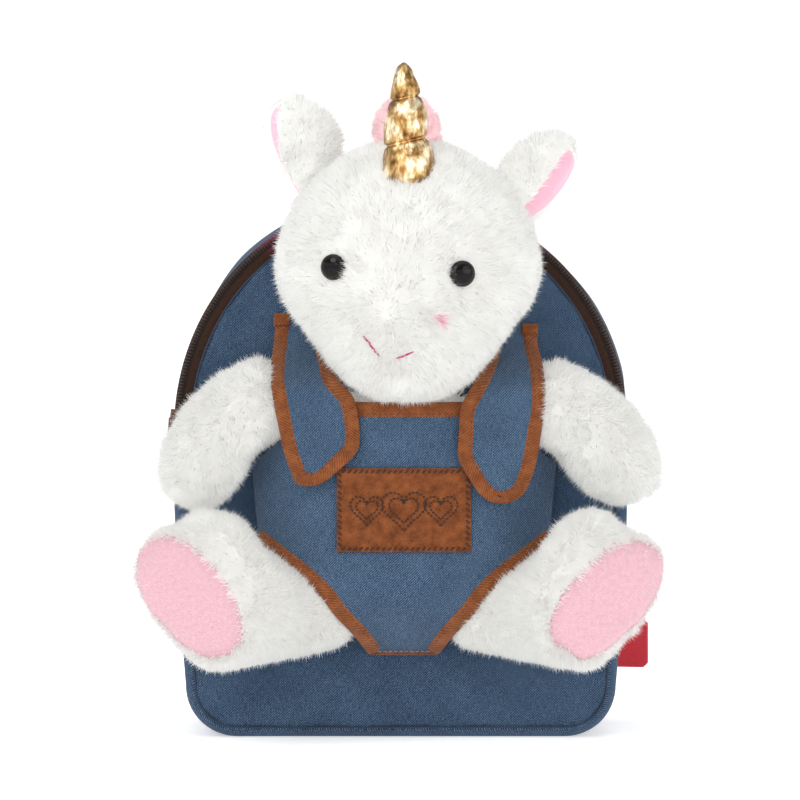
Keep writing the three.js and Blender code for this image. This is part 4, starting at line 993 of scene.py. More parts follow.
# Fur: tapering blades rooted on a body, lying along the nap, drawn together in tufts, and kept out of what
# lies against them.
def plantFur(name, body, number, length, nap, seed, finish="fur", width=0.5, stand=0.85, lean=0.45,
             wild=0.36, tuft=0.22, tuftSize=6.0, density=None, blockers=None):
    draw = np.random.default_rng(seed)
    mesh = body.data
    mesh.calc_loop_triangles()
    corners = np.empty(len(mesh.loop_triangles) * 3, np.int32)
    mesh.loop_triangles.foreach_get("vertices", corners)
    corners = corners.reshape(-1, 3)
    points = meshPoints(mesh)
    normals = np.empty(len(points) * 3, np.float32)
    mesh.vertices.foreach_get("normal", normals)
    normals = normals.reshape(-1, 3).astype(float)
    a, b, c = (points[corners[:, k]] for k in range(3))
    area = np.linalg.norm(np.cross(b - a, c - a), axis=1) / 2
    weight = area * (density((a + b + c) / 3, normals[corners].mean(1)) if density else 1)
    pick = draw.choice(len(corners), number, p=weight / weight.sum())
    u, v = draw.random(number), draw.random(number)
    flip = u + v > 1
    u[flip], v[flip] = 1 - u[flip], 1 - v[flip]
    share = np.stack([1 - u - v, u, v], -1)[..., None]
    root = (points[corners[pick]] * share).sum(1)
    out = (normals[corners[pick]] * share).sum(1)
    out /= np.linalg.norm(out, axis=1, keepdims=True)
    way = nap(root, out)
    way -= out * (way * out).sum(1, keepdims=True)
    way /= np.maximum(np.linalg.norm(way, axis=1, keepdims=True), 1e-6)
    tall = length * draw.uniform(0.7, 1.1, number) * np.where(draw.random(number) < 0.14, 1.4, 1.0)
    heading = out * stand + way * lean + draw.normal(size=(number, 3)) * wild
    heading /= np.linalg.norm(heading, axis=1, keepdims=True)
    tip = root + heading * tall[:, None]
    tufts = min(number // 8, max(4, int(area.sum() / tuftSize ** 2)))
    centres = draw.choice(number, tufts, replace=False)
    finder = KDTree(len(centres))
    for k, centre in enumerate(centres):
        finder.insert(root[centre], k)
    finder.balance()
    nearest = centres[np.array([finder.find(r)[1] for r in root])]
    gather = (tip[nearest] - tip) * (tuft * draw.uniform(0.5, 1.2, number))[:, None]
    far = np.linalg.norm(gather, axis=1, keepdims=True)
    tip = tip + gather * np.minimum(1, 3.5 / np.maximum(far, 1e-6))
    heading = tip - root
    tall = np.linalg.norm(heading, axis=1)
    heading /= tall[:, None]
    keep = np.ones(number, bool)
    if blockers:
        for k in range(number):
            hit = blockers.ray_cast(Vector(root[k] + out[k] * 0.1), Vector(heading[k]), float(tall[k] + 0.6))
            if hit[0] is not None:
                tall[k] = hit[3] - 0.6
                keep[k] = tall[k] > 1.6
    root, out, heading, tall, way = root[keep], out[keep], heading[keep], tall[keep], way[keep]
    number = len(root)
    side = np.cross(heading, out) + draw.normal(size=(number, 3)) * 0.35
    side -= heading * (side * heading).sum(1, keepdims=True)
    side /= np.maximum(np.linalg.norm(side, axis=1, keepdims=True), 1e-6)
    side *= (width * draw.uniform(0.75, 1.2, number) / 2)[:, None]
    tip = root + heading * tall[:, None]
    blades = np.stack([root - side - out * 0.3, root + side - out * 0.3, tip], 1)
    faces = np.arange(number * 3).reshape(-1, 3)
    shade = out * 0.9 + heading * 0.25
    shade /= np.linalg.norm(shade, axis=1, keepdims=True)
    fur = bpy.data.meshes.new(name)
    fur.vertices.add(number * 3)
    fur.vertices.foreach_set("co", (blades.reshape(-1) * mm).astype(np.float32))
    fur.loops.add(len(faces) * 3)
    fur.loops.foreach_set("vertex_index", faces.reshape(-1).astype(np.int32))
    fur.polygons.add(len(faces))
    fur.polygons.foreach_set("loop_start", (np.arange(len(faces)) * 3).astype(np.int32))
    fur.polygons.foreach_set("use_smooth", [True] * len(faces))
    layer = fur.uv_layers.new(name="cloth")
    height = np.tile([0.0, 0.0, 1.0], number)
    layer.data.foreach_set("uv", np.stack([height, np.repeat(draw.random(number), 3)], -1).astype(np.float32).ravel())
    fur.update()
    fur.validate()
    fur.normals_split_custom_set_from_vertices(np.repeat(shade, 3, axis=0).tolist())
    fur.materials.append(finishes[finish])
    piece = bpy.data.objects.new(name, fur)
    scene.collection.objects.link(piece)
    return settle(piece)


# The toy. Fur lengths are in millimetres, and numbers are blades.
toy = {
    "furLength": 5.8, "drawIn": 1.2,
    "head": {"blades": 150000, "voxel": 3.2}, "legs": {"blades": 82000, "voxel": 3.0},
    "arms": {"blades": 52000, "voxel": 2.6}, "ears": {"blades": 17000},
    "mane": {"blades": 24000, "length": 4.6}, "torso": {"blades": 12000},
}
muzzleSpot = np.array([-8.0, -172.0, 220.0])
mouth = {"left": ((-17.9, 215.6), (-15.2, 212.2), (-12.4, 208.6), (-9.6, 205.6)),
         "right": ((-2.6, 204.4), (1.6, 205.8), (5.8, 207.8)), "blush": (18.6, 223.2), "thick": 0.6}
eyeLook = {"radius": 6.8, "bulge": 3.9, "up": 1.6, "inward": 1.0}


def downNap(root, out):
    return np.tile([0.0, 0.0, -1.0], (len(root), 1))


def faceNap(root, out):
    away = root - muzzleSpot
    away /= np.linalg.norm(away, axis=1, keepdims=True)
    return away * 0.8 + np.array([0, 0.1, -0.45])


def limbNap(end):
    def nap(root, out):
        way = np.array(end) - root
        return way / np.linalg.norm(way, axis=1, keepdims=True)
    return nap


def seenMore(centre, normal):
    # less fur where a body lies against the bag or faces away from every view
    hidden = smooth(normal[:, 1], 0.35, 0.8) * smooth(centre[:, 1], -95, -80)
    return 1 - 0.75 * hidden


def skinPoint(tree, x, z, fromY=-400.0):
    hit = tree.ray_cast(Vector((x, fromY, z)), Vector((0, 1, 0)))
    return np.array(hit[0]), np.array(hit[1])


def buildHead(cloths):
    head = softBody("head", "headBacking", toy["head"]["voxel"], 10, toy["drawIn"])
    tree = treeOf([head])
    blockers = treeOf(cloths)
    spots = []
    for row, low, high in (("left", 0, 1), ("right", 0, 1)):
        line = splineThrough(mouth[row], 26)
        face = [skinPoint(tree, x, z) for x, z in line]
        centre = np.array([p + n * 3.0 for p, n in face])
        out = np.array([n for _, n in face])
        way = np.gradient(centre, axis=0)
        way /= np.linalg.norm(way, axis=1, keepdims=True)
        side = np.cross(way, out)
        turns = np.linspace(0, 2 * math.pi, 10, endpoint=False)
        taper = np.sin(np.linspace(0.12, 0.88, 26) * math.pi) ** 0.5 * mouth["thick"]
        rings = centre[:, None] + taper[:, None, None] * (np.cos(turns)[None, :, None] * side[:, None]
                                                          + 0.8 * np.sin(turns)[None, :, None] * out[:, None])
        uv = np.stack(np.meshgrid(np.arange(26.0), turns, indexing="ij"), -1).reshape(-1, 2)
        addRope("mouth" + row.capitalize(), rings, "pinkThread", uv, slot="fur")
        spots.append((centre, 1.5))
    eyes = []
    for side in ("left", "right"):
        low, high = (np.array(corner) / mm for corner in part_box("eye_" + side))
        middle = (low + high) / 2 + (eyeLook["inward"] if side == "left" else -eyeLook["inward"], 0, eyeLook["up"])
        eyes.append((np.array([middle]), eyeLook["radius"] + 1.2))
        addEye(side, middle)
    bare = spots + eyes

    def density(centre, normal):
        keep = seenMore(centre, normal)
        for points, radius in bare:
            near = np.min(np.linalg.norm(centre[:, None] - points[None], axis=2), axis=1)
            keep *= smooth(near, radius * 0.6, radius * 1.25 + 2.5)
        return np.maximum(keep, 0.002)

    plantFur("headFur", head, toy["head"]["blades"], toy["furLength"], faceNap, 11, density=density,
             blockers=blockers, tuftSize=8)
    blush, _ = skinPoint(tree, *mouth["blush"])

    def nearBlush(centre, normal):
        return np.exp(-(np.linalg.norm(centre - blush, axis=1) / 2.0) ** 2) + 1e-9

    plantFur("blushFur", head, 110, toy["furLength"] + 0.5, faceNap, 13, finish="blush", density=nearBlush)
    return head


def addEye(side, middle):
    headMiddle = np.array([3.6, -109.3, 246.0])
    outward = middle - headMiddle
    outward[2] = 0
    outward /= np.linalg.norm(outward)
    outward = outward * 0.55 + np.array([0, -1.0, 0]) * 0.45
    outward /= np.linalg.norm(outward)
    across = np.cross(outward, (0, 0, 1.0))
    across /= np.linalg.norm(across)
    upright = np.cross(across, outward)
    profile = [(0.0, 1.0), (0.2, 0.985), (0.4, 0.93), (0.6, 0.83), (0.78, 0.68), (0.9, 0.5), (0.97, 0.3),
               (1.0, 0.1), (0.98, -0.15), (0.8, -0.35)]
    turns = np.linspace(0, 2 * math.pi, 48, endpoint=False)
    radius, bulge = eyeLook["radius"], eyeLook["bulge"]
    centre = middle - outward * 0.2 + outward * 1.1
    rings, uv = [], []
    for share, high in profile[1:]:
        rings.append(centre + outward * high * bulge + share * radius * (
            np.cos(turns)[:, None] * across + np.sin(turns)[:, None] * upright))
        uv += [(share, k) for k in turns]
    rings = np.array(rings)
    points, faces = ropeParts(rings)
    points = np.concatenate([points, [centre + outward * bulge]])
    faces = faces[:-2] + [[k, (k + 1) % 48, len(points) - 1] for k in range(48)] + [faces[-1]]
    addMesh("eye" + side.capitalize(), points, faces, "eye", np.array(uv + [(0, 0)]), slot="eye",
            node="eye_" + side)


def buildLimbs(cloths):
    blockers = treeOf(cloths)
    for side, sign in (("Left", -1), ("Right", 1)):
        leg = softBody("leg_" + side.lower(), "leg" + side + "Backing", toy["legs"]["voxel"], 8, toy["drawIn"])
        low, high = (np.array(c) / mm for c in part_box("sole_" + side.lower()))
        end = (low + high) / 2
        facing = np.array([sign * 0.42, -0.9, 0.0])
        facing /= np.linalg.norm(facing)
        lieOver = limbNap(end + facing * 30)
        shapeFoot(leg, side)

        def density(centre, normal, facing=facing, side=side):
            flat = normal @ facing
            along, over = padPlace(centre, side)
            onPad = smooth(flat, 0.3, 0.5) * (1 - smooth(np.hypot(along, over), 0.9, 1.02))
            return np.maximum(seenMore(centre, normal) * (1 - onPad), 0.001)

        plantFur("leg" + side + "Fur", leg, toy["legs"]["blades"], toy["furLength"], lieOver, 21 + sign,
                 density=density, blockers=blockers)
        addSole(side, leg)
        arm = softBody("arm_" + side.lower(), "arm" + side + "Backing", toy["arms"]["voxel"], 8, toy["drawIn"])
        hand = np.array([sign * 112.0, -98.0, 112.0])
        plantFur("arm" + side + "Fur", arm, toy["arms"]["blades"], toy["furLength"], limbNap(hand), 31 + sign,
                 density=seenMore, blockers=blockers)
    torso = softBody("torso", "torsoBacking", 3.5, 8, toy["drawIn"])
    plantFur("torsoFur", torso, toy["torso"]["blades"], 6.0, downNap, 41, density=seenMore, blockers=blockers)
    print("limbs built")


# The pads lean outward at the top, seen from the front; places are across and up, in millimetres.
pads = {"Left": {"middle": (-107.8, 80.0), "half": (22.0, 36.0), "lean": 38, "facing": (-0.30, -0.94, -0.05)},
        "Right": {"middle": (104.6, 78.5), "half": (21.5, 37.5), "lean": -43, "facing": (0.34, -0.93, -0.05)},
        "rise": 1.0, "crown": 1.6, "rim": -1.6, "instep": 0.2}


def padPlace(points, side):
    pad = pads[side]
    lean = math.radians(pad["lean"])
    across, up = points[:, 0] - pad["middle"][0], points[:, 2] - pad["middle"][1]
    along = (up * math.cos(lean) - across * math.sin(lean)) / pad["half"][1]
    over = (across * math.cos(lean) + up * math.sin(lean)) / pad["half"][0]
    return along, over


# The foot's end is drawn to the outline of its pad on its outer side.
def shapeFoot(leg, side):
    pad = pads[side]
    points = meshPoints(leg.data)
    middle = np.array(pad["middle"])
    sign = -1 if side == "Left" else 1
    offset = points[:, [0, 2]] - middle
    far = np.maximum(np.linalg.norm(offset, axis=1), 1e-6)
    angle = np.arctan2(offset[:, 1], offset[:, 0])
    end = points[:, 1] < points[:, 1].min() + 42
    bins = np.linspace(-math.pi, math.pi, 37)
    reach = np.array([far[end & (angle >= a) & (angle <= b)].max(initial=20) for a, b in zip(bins, bins[1:])])
    reach = np.convolve(np.concatenate([reach[-2:], reach, reach[:2]]), np.ones(5) / 5, "valid")
    there = np.interp(angle, (bins[1:] + bins[:-1]) / 2, reach, period=2 * math.pi)
    lean = math.radians(pad["lean"])
    along = np.cos(angle - lean - math.pi / 2)
    over = np.cos(angle - lean)
    wanted = 1 / np.hypot(along / pad["half"][1], over / pad["half"][0]) + pads["rim"]
    outer = smooth(sign * np.cos(angle) - 0.15 * np.sin(angle), -0.25, 0.4)
    near = smooth(-points[:, 1], 88, 125)
    scale = 1 + (wanted / there - 1) * outer * near
    points[:, [0, 2]] = middle + offset * scale[:, None]
    high = np.clip(offset[:, 1] - 6, 0, 60) * smooth(np.abs(points[:, 0]), 72, 98) * smooth(-points[:, 1], 80, 120)
    points[:, 2] += high * pads["instep"] * (1 - 0.8 * smooth(sign * offset[:, 0], 0, 22))
    leg.data.vertices.foreach_set("co", (points * mm).astype(np.float32).ravel())
    leg.data.update()


def addSole(side, leg):
    pad = pads[side]
    tree = treeOf([leg])
    facing = np.array(pad["facing"])
    facing /= np.linalg.norm(facing)
    lean = math.radians(pad["lean"])
    around, rings = 110, 26
    turns = np.linspace(0, 2 * math.pi, around, endpoint=False)
    shares = np.sin(np.linspace(0, math.pi / 2, rings))
    shares[0] = 0.02
    c, s = np.cos(turns), np.sin(turns)
    over = np.sign(c) * np.abs(c) ** 0.94 * pad["half"][0] * (1 + 0.06 * s)
    along = np.sign(s) * np.abs(s) ** 0.94 * pad["half"][1]
    wobble = 1 + 0.012 * np.sin(turns * 5 + 1) + 0.008 * np.sin(turns * 11)
    flat = shares[None, :, None] * np.stack([over * math.cos(lean) - along * math.sin(lean),
                                             over * math.sin(lean) + along * math.cos(lean)], -1)[:, None]
    flat = flat * wobble[:, None, None] + pad["middle"]
    depth = np.empty(flat.shape[:2])
    for k in range(around):
        for n in range(rings):
            hit = tree.ray_cast(Vector((flat[k, n, 0], -260, flat[k, n, 1])), Vector((0, 1, 0)))[0]
            depth[k, n] = hit[1] if hit else np.nan
    for n in range(1, rings):  # past the foot's edge the pad turns gently back
        depth[:, n] = np.where(np.isnan(depth[:, n]), depth[:, n - 1] + 0.8, depth[:, n])
    for _ in range(3):
        depth[:, 1:-1] = (depth[:, :-2] + depth[:, 2:] + np.roll(depth, 1, 0)[:, 1:-1]
                          + np.roll(depth, -1, 0)[:, 1:-1]) / 4
    rise = pads["rise"] + pads["crown"] * np.sqrt(np.clip(1 - shares ** 3, 0, 1)) - 1.4 * shares ** 14
    grid = np.stack([flat[..., 0], depth, flat[..., 1]], -1) + facing * rise[None, :, None]
    grid += facing * (ripple(grid.reshape(-1, 3), 20, 60).reshape(grid.shape[:2]) * 0.4)[..., None]
    back = grid - facing * 1.6
    count = around * rings
    index = np.arange(count).reshape(around, rings)
    faces = [list(f) for f in gridFaces(around, rings, 0, True)]
    faces += [list(f[::-1]) for f in gridFaces(around, rings, count, True)]
    rim = np.append(index[:, -1], index[0, -1])
    faces += [[a, b, b + count, a + count] for a, b in zip(rim[:-1], rim[1:])]
    faces += [list(index[:, 0]), list(index[::-1, 0] + count)]
    uv = flat.reshape(-1, 2)
    piece = addMesh("sole" + side, np.concatenate([grid.reshape(-1, 3), back.reshape(-1, 3)]), faces, "sole",
                    np.concatenate([uv, uv]), slot="sole_fleece", node="sole_" + side.lower())


# The horn: padded gold cloth drawn in by two slanting ties, with pleats running up from each.
horn = {"height": 62, "radius": 13.6, "base": 292, "y": -135.3, "x": 3.6, "twist": 0.22, "lean": -2,
        "rings": ((0, 0.96), (0.05, 1.05), (0.15, 1.02), (0.26, 0.93), (0.32, 0.82), (0.345, 0.76), (0.37, 0.82),
                  (0.42, 0.85), (0.5, 0.84), (0.58, 0.77), (0.65, 0.67), (0.69, 0.57), (0.71, 0.53), (0.73, 0.56),
                  (0.78, 0.56), (0.86, 0.45), (0.93, 0.33), (0.975, 0.2), (1.0, 0.04)),
        "ties": (0.345, 0.705), "pleat": 0.42, "groove": 1.0}


def buildHorn():
    around, rows = 96, 180
    up, out = np.array(horn["rings"]).T
    shares = np.linspace(0, 1, rows)
    radius = np.interp(shares, up, out) * horn["radius"]
    weight = np.hanning(9) / np.hanning(9).sum()
    radius = np.convolve(np.pad(radius, 4, "edge"), weight, "valid")
    turns = np.linspace(0, 2 * math.pi, around, endpoint=False)
    grid = np.stack([radius[:, None] * np.cos(turns), radius[:, None] * np.sin(turns),
                     np.repeat(shares[:, None], around, 1) * horn["height"]], -1)
    near = sum(np.exp(-((shares - tie) / 0.055) ** 2) for tie in horn["ties"])
    groove = sum(np.exp(-((shares - tie) / 0.013) ** 2) for tie in horn["ties"]) * horn["groove"]
    pleats = np.sin(turns * 12 + 2.2 * np.sin(turns * 2))[None, :] * near[:, None]
    crumple = ripple(grid.reshape(-1, 3), 17, 71, 9).reshape(rows, around)
    fine = ripple(grid.reshape(-1, 3) * (1, 1, 0.6), 6, 72, 10).reshape(rows, around)
    relief = horn["pleat"] * pleats + crumple + 0.3 * fine - groove[:, None]
    swell = 1 + relief / np.maximum(radius, 4)[:, None]
    grid[..., :2] *= swell[..., None]
    slant = np.sin(math.pi * np.minimum(1, shares * 1.1))
    grid[..., 2] += horn["twist"] * grid[..., 0] * slant[:, None]
    lean = math.radians(horn["lean"])
    turned = grid.copy()
    turned[..., 0] = grid[..., 0] * math.cos(lean) + grid[..., 2] * math.sin(lean)
    turned[..., 2] = -grid[..., 0] * math.sin(lean) + grid[..., 2] * math.cos(lean)
    grid = turned + (horn["x"], horn["y"], horn["base"])
    points, faces = ropeParts(grid)
    uv = np.stack(np.meshgrid(shares * horn["height"], turns * 8, indexing="ij"), -1).reshape(-1, 2)
    addMesh("goldHorn", points, faces, "gold", uv, slot="gold_fabric", node="horn")
    print("horn built")


def buildMane():
    body = softBody("mane", "maneBacking", 2.0, 10, 1.0, finish="mane")
    plantFur("maneFur", body, toy["mane"]["blades"], toy["mane"]["length"], limbNap((3.0, -95.0, 360.0)), 51,
             finish="mane", tuft=0.5, tuftSize=5)
    print("mane built")


# Each ear is a cupped sheet. A row gives its fold, its near edge and its far edge, across and up.
ears = {
    "Left": (((-44, 281), (-46, 283), (-48, 283)), ((-43.5, 290), (-51.5, 290), (-53.5, 290)), ((-37.5, 298), (-57.5, 298), (-60.5, 298)),
             ((-31.5, 306), (-60.5, 306), (-65, 306)), ((-30.5, 314), (-61.2, 314), (-68.5, 314)),
             ((-33, 322), (-61.8, 322), (-69.5, 322)), ((-39.5, 328.5), (-61, 329), (-67.5, 329)),
             ((-47, 333), (-59.5, 333.5), (-63, 333.5)), ((-53, 335), (-57.5, 335.5), (-58.5, 335.5))),
    "Right": (((46, 290), (56, 277), (60, 268)), ((51.5, 298), (63.5, 282.5), (69, 273.5)), ((55, 304.5), (67.5, 287), (75.5, 277.5)),
              ((61, 310.5), (72, 293), (81.5, 284)), ((68, 314), (76.2, 300), (87, 292.5)),
              ((75, 316.5), (79.8, 305.5), (90, 301)), ((81, 316), (83.4, 309), (89, 307.5)),
              ((85, 312.5), (86, 310.5), (87, 310.5))),
    "out": 2.0, "nearBulge": 12.0, "farBulge": 8.0, "thick": 2.2, "lining": 0.8, "fold": {"Left": -99.0, "Right": -99.0},
}


def buildEars():
    for side, sign in (("Left", -1), ("Right", 1)):
        rows = np.array(ears[side], float)
        folds, nears, fars = (splineThrough(rows[:, k], 60) for k in range(3))
        theta = np.linspace(0, math.pi / 2, 30)
        taper = np.sin(np.linspace(0.42, 1, 60) * math.pi) ** 0.6 + 0.12
        nearX = folds[:, None] + (nears - folds)[:, None] * (1 - np.sin(theta))[None, :, None]
        farX = folds[:, None] + (fars - folds)[:, None] * (1 - np.cos(theta))[None, :, None]
        fold = ears["fold"][side]
        nearY = fold - ears["nearBulge"] * taper[:, None] * np.cos(theta)[None]
        farY = fold + ears["farBulge"] * taper[:, None] * np.sin(theta)[None]
        flat = np.concatenate([nearX, farX[:, 1:]], axis=1)
        depth = np.concatenate([nearY, farY[:, 1:]], axis=1)
        outer = np.stack([flat[..., 0], depth, flat[..., 1]], -1)
        outer[..., 0] += sign * ears["out"]
        wave = ripple(outer.reshape(-1, 3), 18, 80 + sign).reshape(outer.shape[:2])
        outer += normalsOf(outer) * wave[..., None] * 0.8
        normal = normalsOf(outer)
        inward = 1 if normal[30, 5, 1] > 0 else -1
        shell = addSheet("ear" + side + "Backing", outer, ears["thick"], "skin", inward=inward, slot="fur",
                         node="ear_" + side.lower())
        inner = outer + inward * normal * (ears["thick"] + gap)
        inside = np.arange(2, 57, 2)
        lining = addSheet("ear" + side + "Lining", inner[:, inside], ears["lining"], "satin", inward=inward,
                          slot="satin", node="ear_lining_" + side.lower())
        roots = bpy.data.meshes.new("earRoots")
        faces = gridFaces(*outer.shape[:2])
        if inward < 0:
            faces = faces[:, ::-1]
        roots.from_pydata((outer.reshape(-1, 3) * mm).tolist(), [], faces.tolist())
        roots.update()
        bare = bpy.data.objects.new("earRoots", roots)
        tip = np.array([fars[-1, 0], fold - 4, fars[-1, 1] + 6])
        plantFur("ear" + side + "Fur", bare, toy["ears"]["blades"], 6.2, limbNap(tip), 61 + sign, stand=0.95, wild=0.5,
                 blockers=treeOf([lining]))
        bpy.data.objects.remove(bare)
    print("ears built")


# Padded pieces swell under a little pressure, as foam in a sewn cover does.
def swollen(piece, voxel, pressure=4.0, most=5.0, frames=16):
    remesh = piece.modifiers.new("remesh", "REMESH")
    remesh.mode = "VOXEL"
    remesh.voxel_size = voxel * mm
    applied(piece)
    before = meshPoints(piece.data)
    cloth = piece.modifiers.new("fill", "CLOTH")
    cloth.settings.quality = 5
    cloth.settings.mass = 0.15
    cloth.settings.use_pressure = True
    cloth.settings.uniform_pressure_force = pressure
    cloth.settings.effector_weights.gravity = 0
    cloth.collision_settings.use_self_collision = False
    for number in range(1, frames + 1):
        scene.frame_set(number)
    graph = bpy.context.evaluated_depsgraph_get()
    mesh = bpy.data.meshes.new_from_object(piece.evaluated_get(graph))
    piece.modifiers.clear()
    piece.data = mesh
    scene.frame_set(1)
    after = meshPoints(mesh)
    shift = after - before
    far = np.linalg.norm(shift, axis=1, keepdims=True)
    after = before + shift * np.minimum(1, most / np.maximum(far, 1e-6))
    mesh.vertices.foreach_set("co", (after * mm).astype(np.float32).ravel())
    mesh.update()


def buildBack():
    for side, sign in (("Left", -1), ("Right", 1)):
        node = "shoulder_strap_" + side.lower()
        strap = bpy.data.objects.new("strap" + side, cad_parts[node].data.copy())
        scene.collection.objects.link(strap)
        swollen(strap, 4.0, 3.0, 1.6)
        softenOnly(strap, None)
        dress(strap, "padding", (0, 2))
        settle(strap, node)
        addStrapEdges(side, strap)
        for part, finish, slot in (("strap_buckle_", "plastic", "buckle_plastic"),
                                   ("strap_webbing_", "webbing", "webbing")):
            bevelled(part + side.lower(), part.split("_")[1] + side, finish, 0.3 if "web" in part else 0.5)
    bevelled("carry_handle", "carryHandle", "webbing", 0.6)
    addBackPanel()
    print("back built")


# A piping cord and a row of stitches follow each strap's two long edges on its outer face.
def addStrapEdges(side, strap):
    points = meshPoints(strap.data)
    tree = treeOf([strap])
    heights = np.arange(points[:, 2].min() + 14, points[:, 2].max() - 8, 3.0)
    lines = {"in": [], "out": []}
    for z in heights:
        band = points[np.abs(points[:, 2] - z) < 3.5]
        left, right = band[:, 0].min(), band[:, 0].max()
        for name, x in (("in", left), ("out", right)):
            row = band[np.abs(band[:, 0] - x) < 2.5]
            lines[name].append((x + (0.4 if name == "in" else -0.4), row[:, 1].mean(), z))
    for name, line in lines.items():
        line = splineThrough(np.array(line)[::2], 120)
        line[:, :2] = np.stack([np.convolve(np.pad(line[:, k], 6, "edge"), np.ones(13) / 13, "valid")
                                for k in (0, 1)], -1)
        way = np.gradient(line, axis=0)
        way /= np.linalg.norm(way, axis=1, keepdims=True)
        side1 = np.cross(way, (0, 1.0, 0))
        side1 /= np.linalg.norm(side1, axis=1, keepdims=True)
        side2 = np.cross(way, side1)
        turns = np.linspace(0, 2 * math.pi, 10, endpoint=False)
        rings = line[:, None] + 1.5 * (np.cos(turns)[None, :, None] * side1[:, None]
                                       + np.sin(turns)[None, :, None] * side2[:, None])
        uv = np.stack(np.meshgrid(np.arange(120) * 1.5, turns * 1.5, indexing="ij"), -1).reshape(-1, 2)
        addRope("strapPiping" + side + name.capitalize(), rings, "webbing", uv, slot="padding")
        row = line + (5.5 if name == "in" else -5.5, 0, 0)
        starts, ends = alongLine(row, 4.2, 0.6, offset=4)
        for group in (starts, ends):
            for spot in group:
                hit = tree.ray_cast(Vector((spot[0], 200, spot[2])), Vector((0, -1, 0)))[0]
                spot[1] = hit[1] + 0.2 if hit else spot[1]
        addStitches("strapStitches" + side + name.capitalize(), starts, ends, np.tile((0, 1.0, 0), (len(starts), 1)),
                    "paleThread", 0.35, 0.4, slot="padding")


def softenOnly(piece, voxel):
    if voxel:
        remesh = piece.modifiers.new("remesh", "REMESH")
        remesh.mode = "VOXEL"
        remesh.voxel_size = voxel * mm
    soften = piece.modifiers.new("soften", "SMOOTH")
    soften.factor = 0.5
    soften.iterations = 3
    divide = piece.modifiers.new("divide", "SUBSURF")
    divide.levels = 1
    applied(piece)


def bevelled(node, name, finish, width, axes=(0, 2)):
    piece = bpy.data.objects.new(name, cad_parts[node].data.copy())
    scene.collection.objects.link(piece)
    weld = piece.modifiers.new("weld", "WELD")
    weld.merge_threshold = 0.00002
    bevel = piece.modifiers.new("bevel", "BEVEL")
    bevel.width = width * mm
    bevel.segments = 3
    bevel.limit_method = "ANGLE"
    bevel.angle_limit = math.radians(38)
    applied(piece)
    dress(piece, finish, axes)
    mesh = piece.data
    mesh.set_sharp_from_angle(angle=math.radians(45))
    return settle(piece, node)


# The padded back: quilted by channels between its seams.
def addBackPanel():
    inset = bag["seamBack"] + gap
    t = np.arange(260) / 260
    spot, out = outlineAt(t)
    edge = spot - out * inset
    middle = np.array([0.0, 135.0])
    shares = np.linspace(0.02, 1, 60)
    flat = middle + shares[None, :, None] * (edge[:, None] - middle)
    puff = 1 - np.exp(-((1 - shares) / 0.06) ** 1.2)
    channel = np.abs(np.sin(flat[..., 1] * math.pi / 38.0)) ** 0.35
    lateral = smooth(np.abs(flat[..., 0]), 62, 66)
    channel = channel * (1 - lateral) + lateral
    seam = 1 - 0.8 * np.exp(-((np.abs(flat[..., 0]) - 64) / 1.6) ** 2)
    y = backPlane - 1.6 + 1.5 * puff[None, :] * channel * seam
    outer = np.stack([flat[..., 0], y, flat[..., 1]], -1)
    inner = outer[:, -1].copy()
    inner[:, 1] = backPlane - 12
    around, rings = outer.shape[:2]
    count = around * rings
    index = np.arange(count).reshape(around, rings)
    back = np.arange(around) + count
    faces = [list(f) for f in gridFaces(around, rings, 0, True)]
    faces += [[index[k - 1, -1], index[k, -1], back[k], back[k - 1]] for k in range(around)]
    faces += [list(index[:, 0]), list(back[::-1])]  # its flat inside is a single face
    points = np.concatenate([outer.reshape(-1, 3), inner])
    panel = addMesh("backPanel", points, faces, "padding", points[:, [0, 2]], slot="padding", node="back_panel")


def buildSmallThings():
    low, high = (np.array(c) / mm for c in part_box("label_tab"))
    low[2], high[2] = low[2] - 8, high[2] - 6
    high[0] += 5.5
    x = np.linspace(low[0], high[0], 24)
    z = np.linspace(low[2], high[2], 26)
    flat = np.stack(np.meshgrid(x, z, indexing="xy"), -1)
    middle = (low + high) / 2
    size = (high - low) / 2
    u, w = (flat[..., 0] - middle[0]) / size[0], (flat[..., 1] - middle[2]) / size[2]
    corner = smooth(np.maximum(0, u), 0.8, 1.0) * smooth(np.abs(w), 0.8, 1.0)
    flat[..., 0] -= corner * 1.2
    flat[..., 1] -= np.sign(w) * corner * 1.2
    flat[..., 1] += (flat[..., 0] - low[0]) * -0.02
    y = np.full(flat.shape[:2], low[1] + 0.1) + 0.9 * smooth(u, -0.2, 1.0) * np.sin(w * 2.0 + 0.6)
    grid = np.stack([flat[..., 0], y, flat[..., 1]], -1)
    addSheet("sideLabel", grid, 0.7, "label", inward=-1, uv=flat, slot="label_cloth",
             node="label_tab")
    bevelled("zip_slider", "zipSlider", "bronze", 0.45)
    pull = bevelled("zip_pull", "zipPull", "bronze", 0.4)
    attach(pull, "zip_pull")
    print("small pieces built")


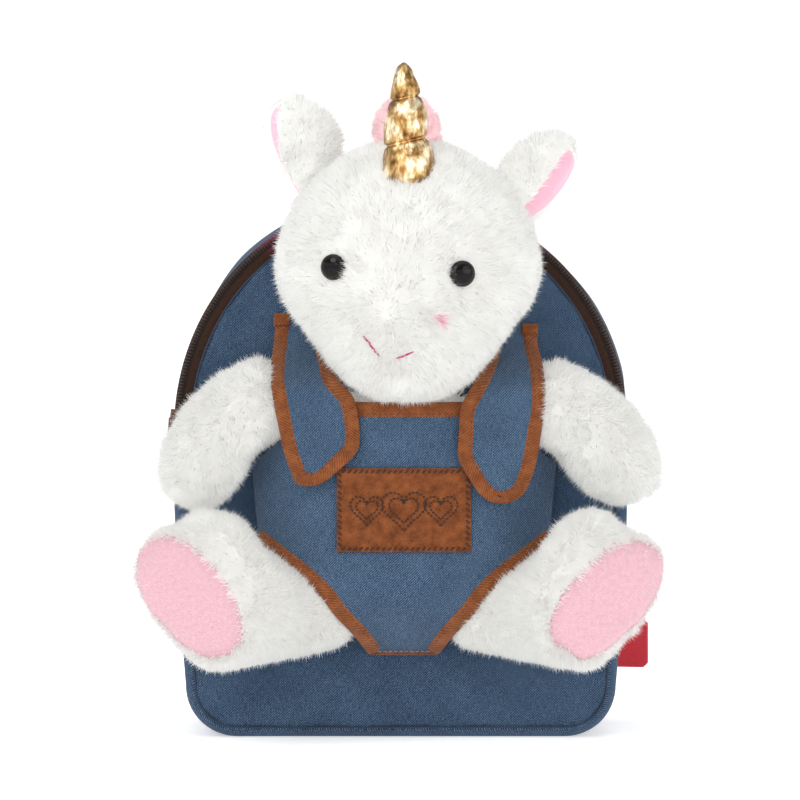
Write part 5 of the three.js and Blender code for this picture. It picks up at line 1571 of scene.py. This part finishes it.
def buildStudio():
    world = bpy.data.worlds.new("studio")
    world.use_nodes = True
    back = world.node_tree.nodes["Background"]
    back.inputs[0].default_value = studio["world"] + (1,)
    back.inputs[1].default_value = studio["worldStrength"]
    scene.world = world
    for name, place, size, watts in studio["lights"]:
        data = bpy.data.lights.new(name, "AREA")
        data.shape = "DISK"
        data.size = size
        data.energy = watts
        light = bpy.data.objects.new(name, data)
        light.location = place
        light.rotation_euler = (Vector((0, -0.05, 0.17)) - Vector(place)).to_track_quat("-Z", "Y").to_euler()
        scene.collection.objects.link(light)
    # a wide round sweep, curved up all round beyond the camera
    profile = [(0.01, 0.0), (1.2, 0.0), (3.4, 0.0)]
    profile += [(3.4 + 1.2 * math.sin(a), 1.2 - 1.2 * math.cos(a)) for a in np.linspace(0.1, math.pi / 2, 12)]
    profile += [(4.6, 1.7)]
    turns = np.linspace(0, 2 * math.pi, 72, endpoint=False)
    points = [(reach * math.cos(turn), reach * math.sin(turn), z) for reach, z in profile for turn in turns]
    faces = [list(map(int, f)) for f in ropeParts(np.array(points).reshape(len(profile), 72, 3))[1][:-2]]
    faces.append(list(range(72)))
    mesh = bpy.data.meshes.new("paperSweep")
    mesh.from_pydata(points, [], faces)
    mesh.polygons.foreach_set("use_smooth", [True] * len(faces))
    paper = Finish("paper", 0.9, Emission_Strength=studio["paperGlow"])
    paper.shader.inputs["Base Color"].default_value = studio["paper"] + (1,)
    paper.shader.inputs["Emission Color"].default_value = (1, 1, 1, 1)
    mesh.materials.append(paper.material)
    sweep = bpy.data.objects.new("paperSweep", mesh)
    scene.collection.objects.link(sweep)
    scene.view_settings.view_transform = "Standard"


buildStudio()
buildBag()
buildBib()
buildFlaps()
clothNames = ("bibPanel", "bibTopTrim", "legTrimLeft", "legTrimRight", "flapLeft", "flapRight", "flapTrimLeft",
              "flapTrimRight", "frontPanel")
cloths = [bpy.data.objects[name] for name in clothNames]
head = buildHead(cloths)
print("head built")
buildLimbs(cloths)
buildHorn()
buildMane()
buildEars()
buildBack()
buildSmallThings()

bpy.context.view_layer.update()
shown = [o.data for o in scene.objects if o.type == "MESH" and not o.hide_render]
print("triangles shown:", sum(len(mesh.loops) - 2 * len(mesh.polygons) for mesh in shown))
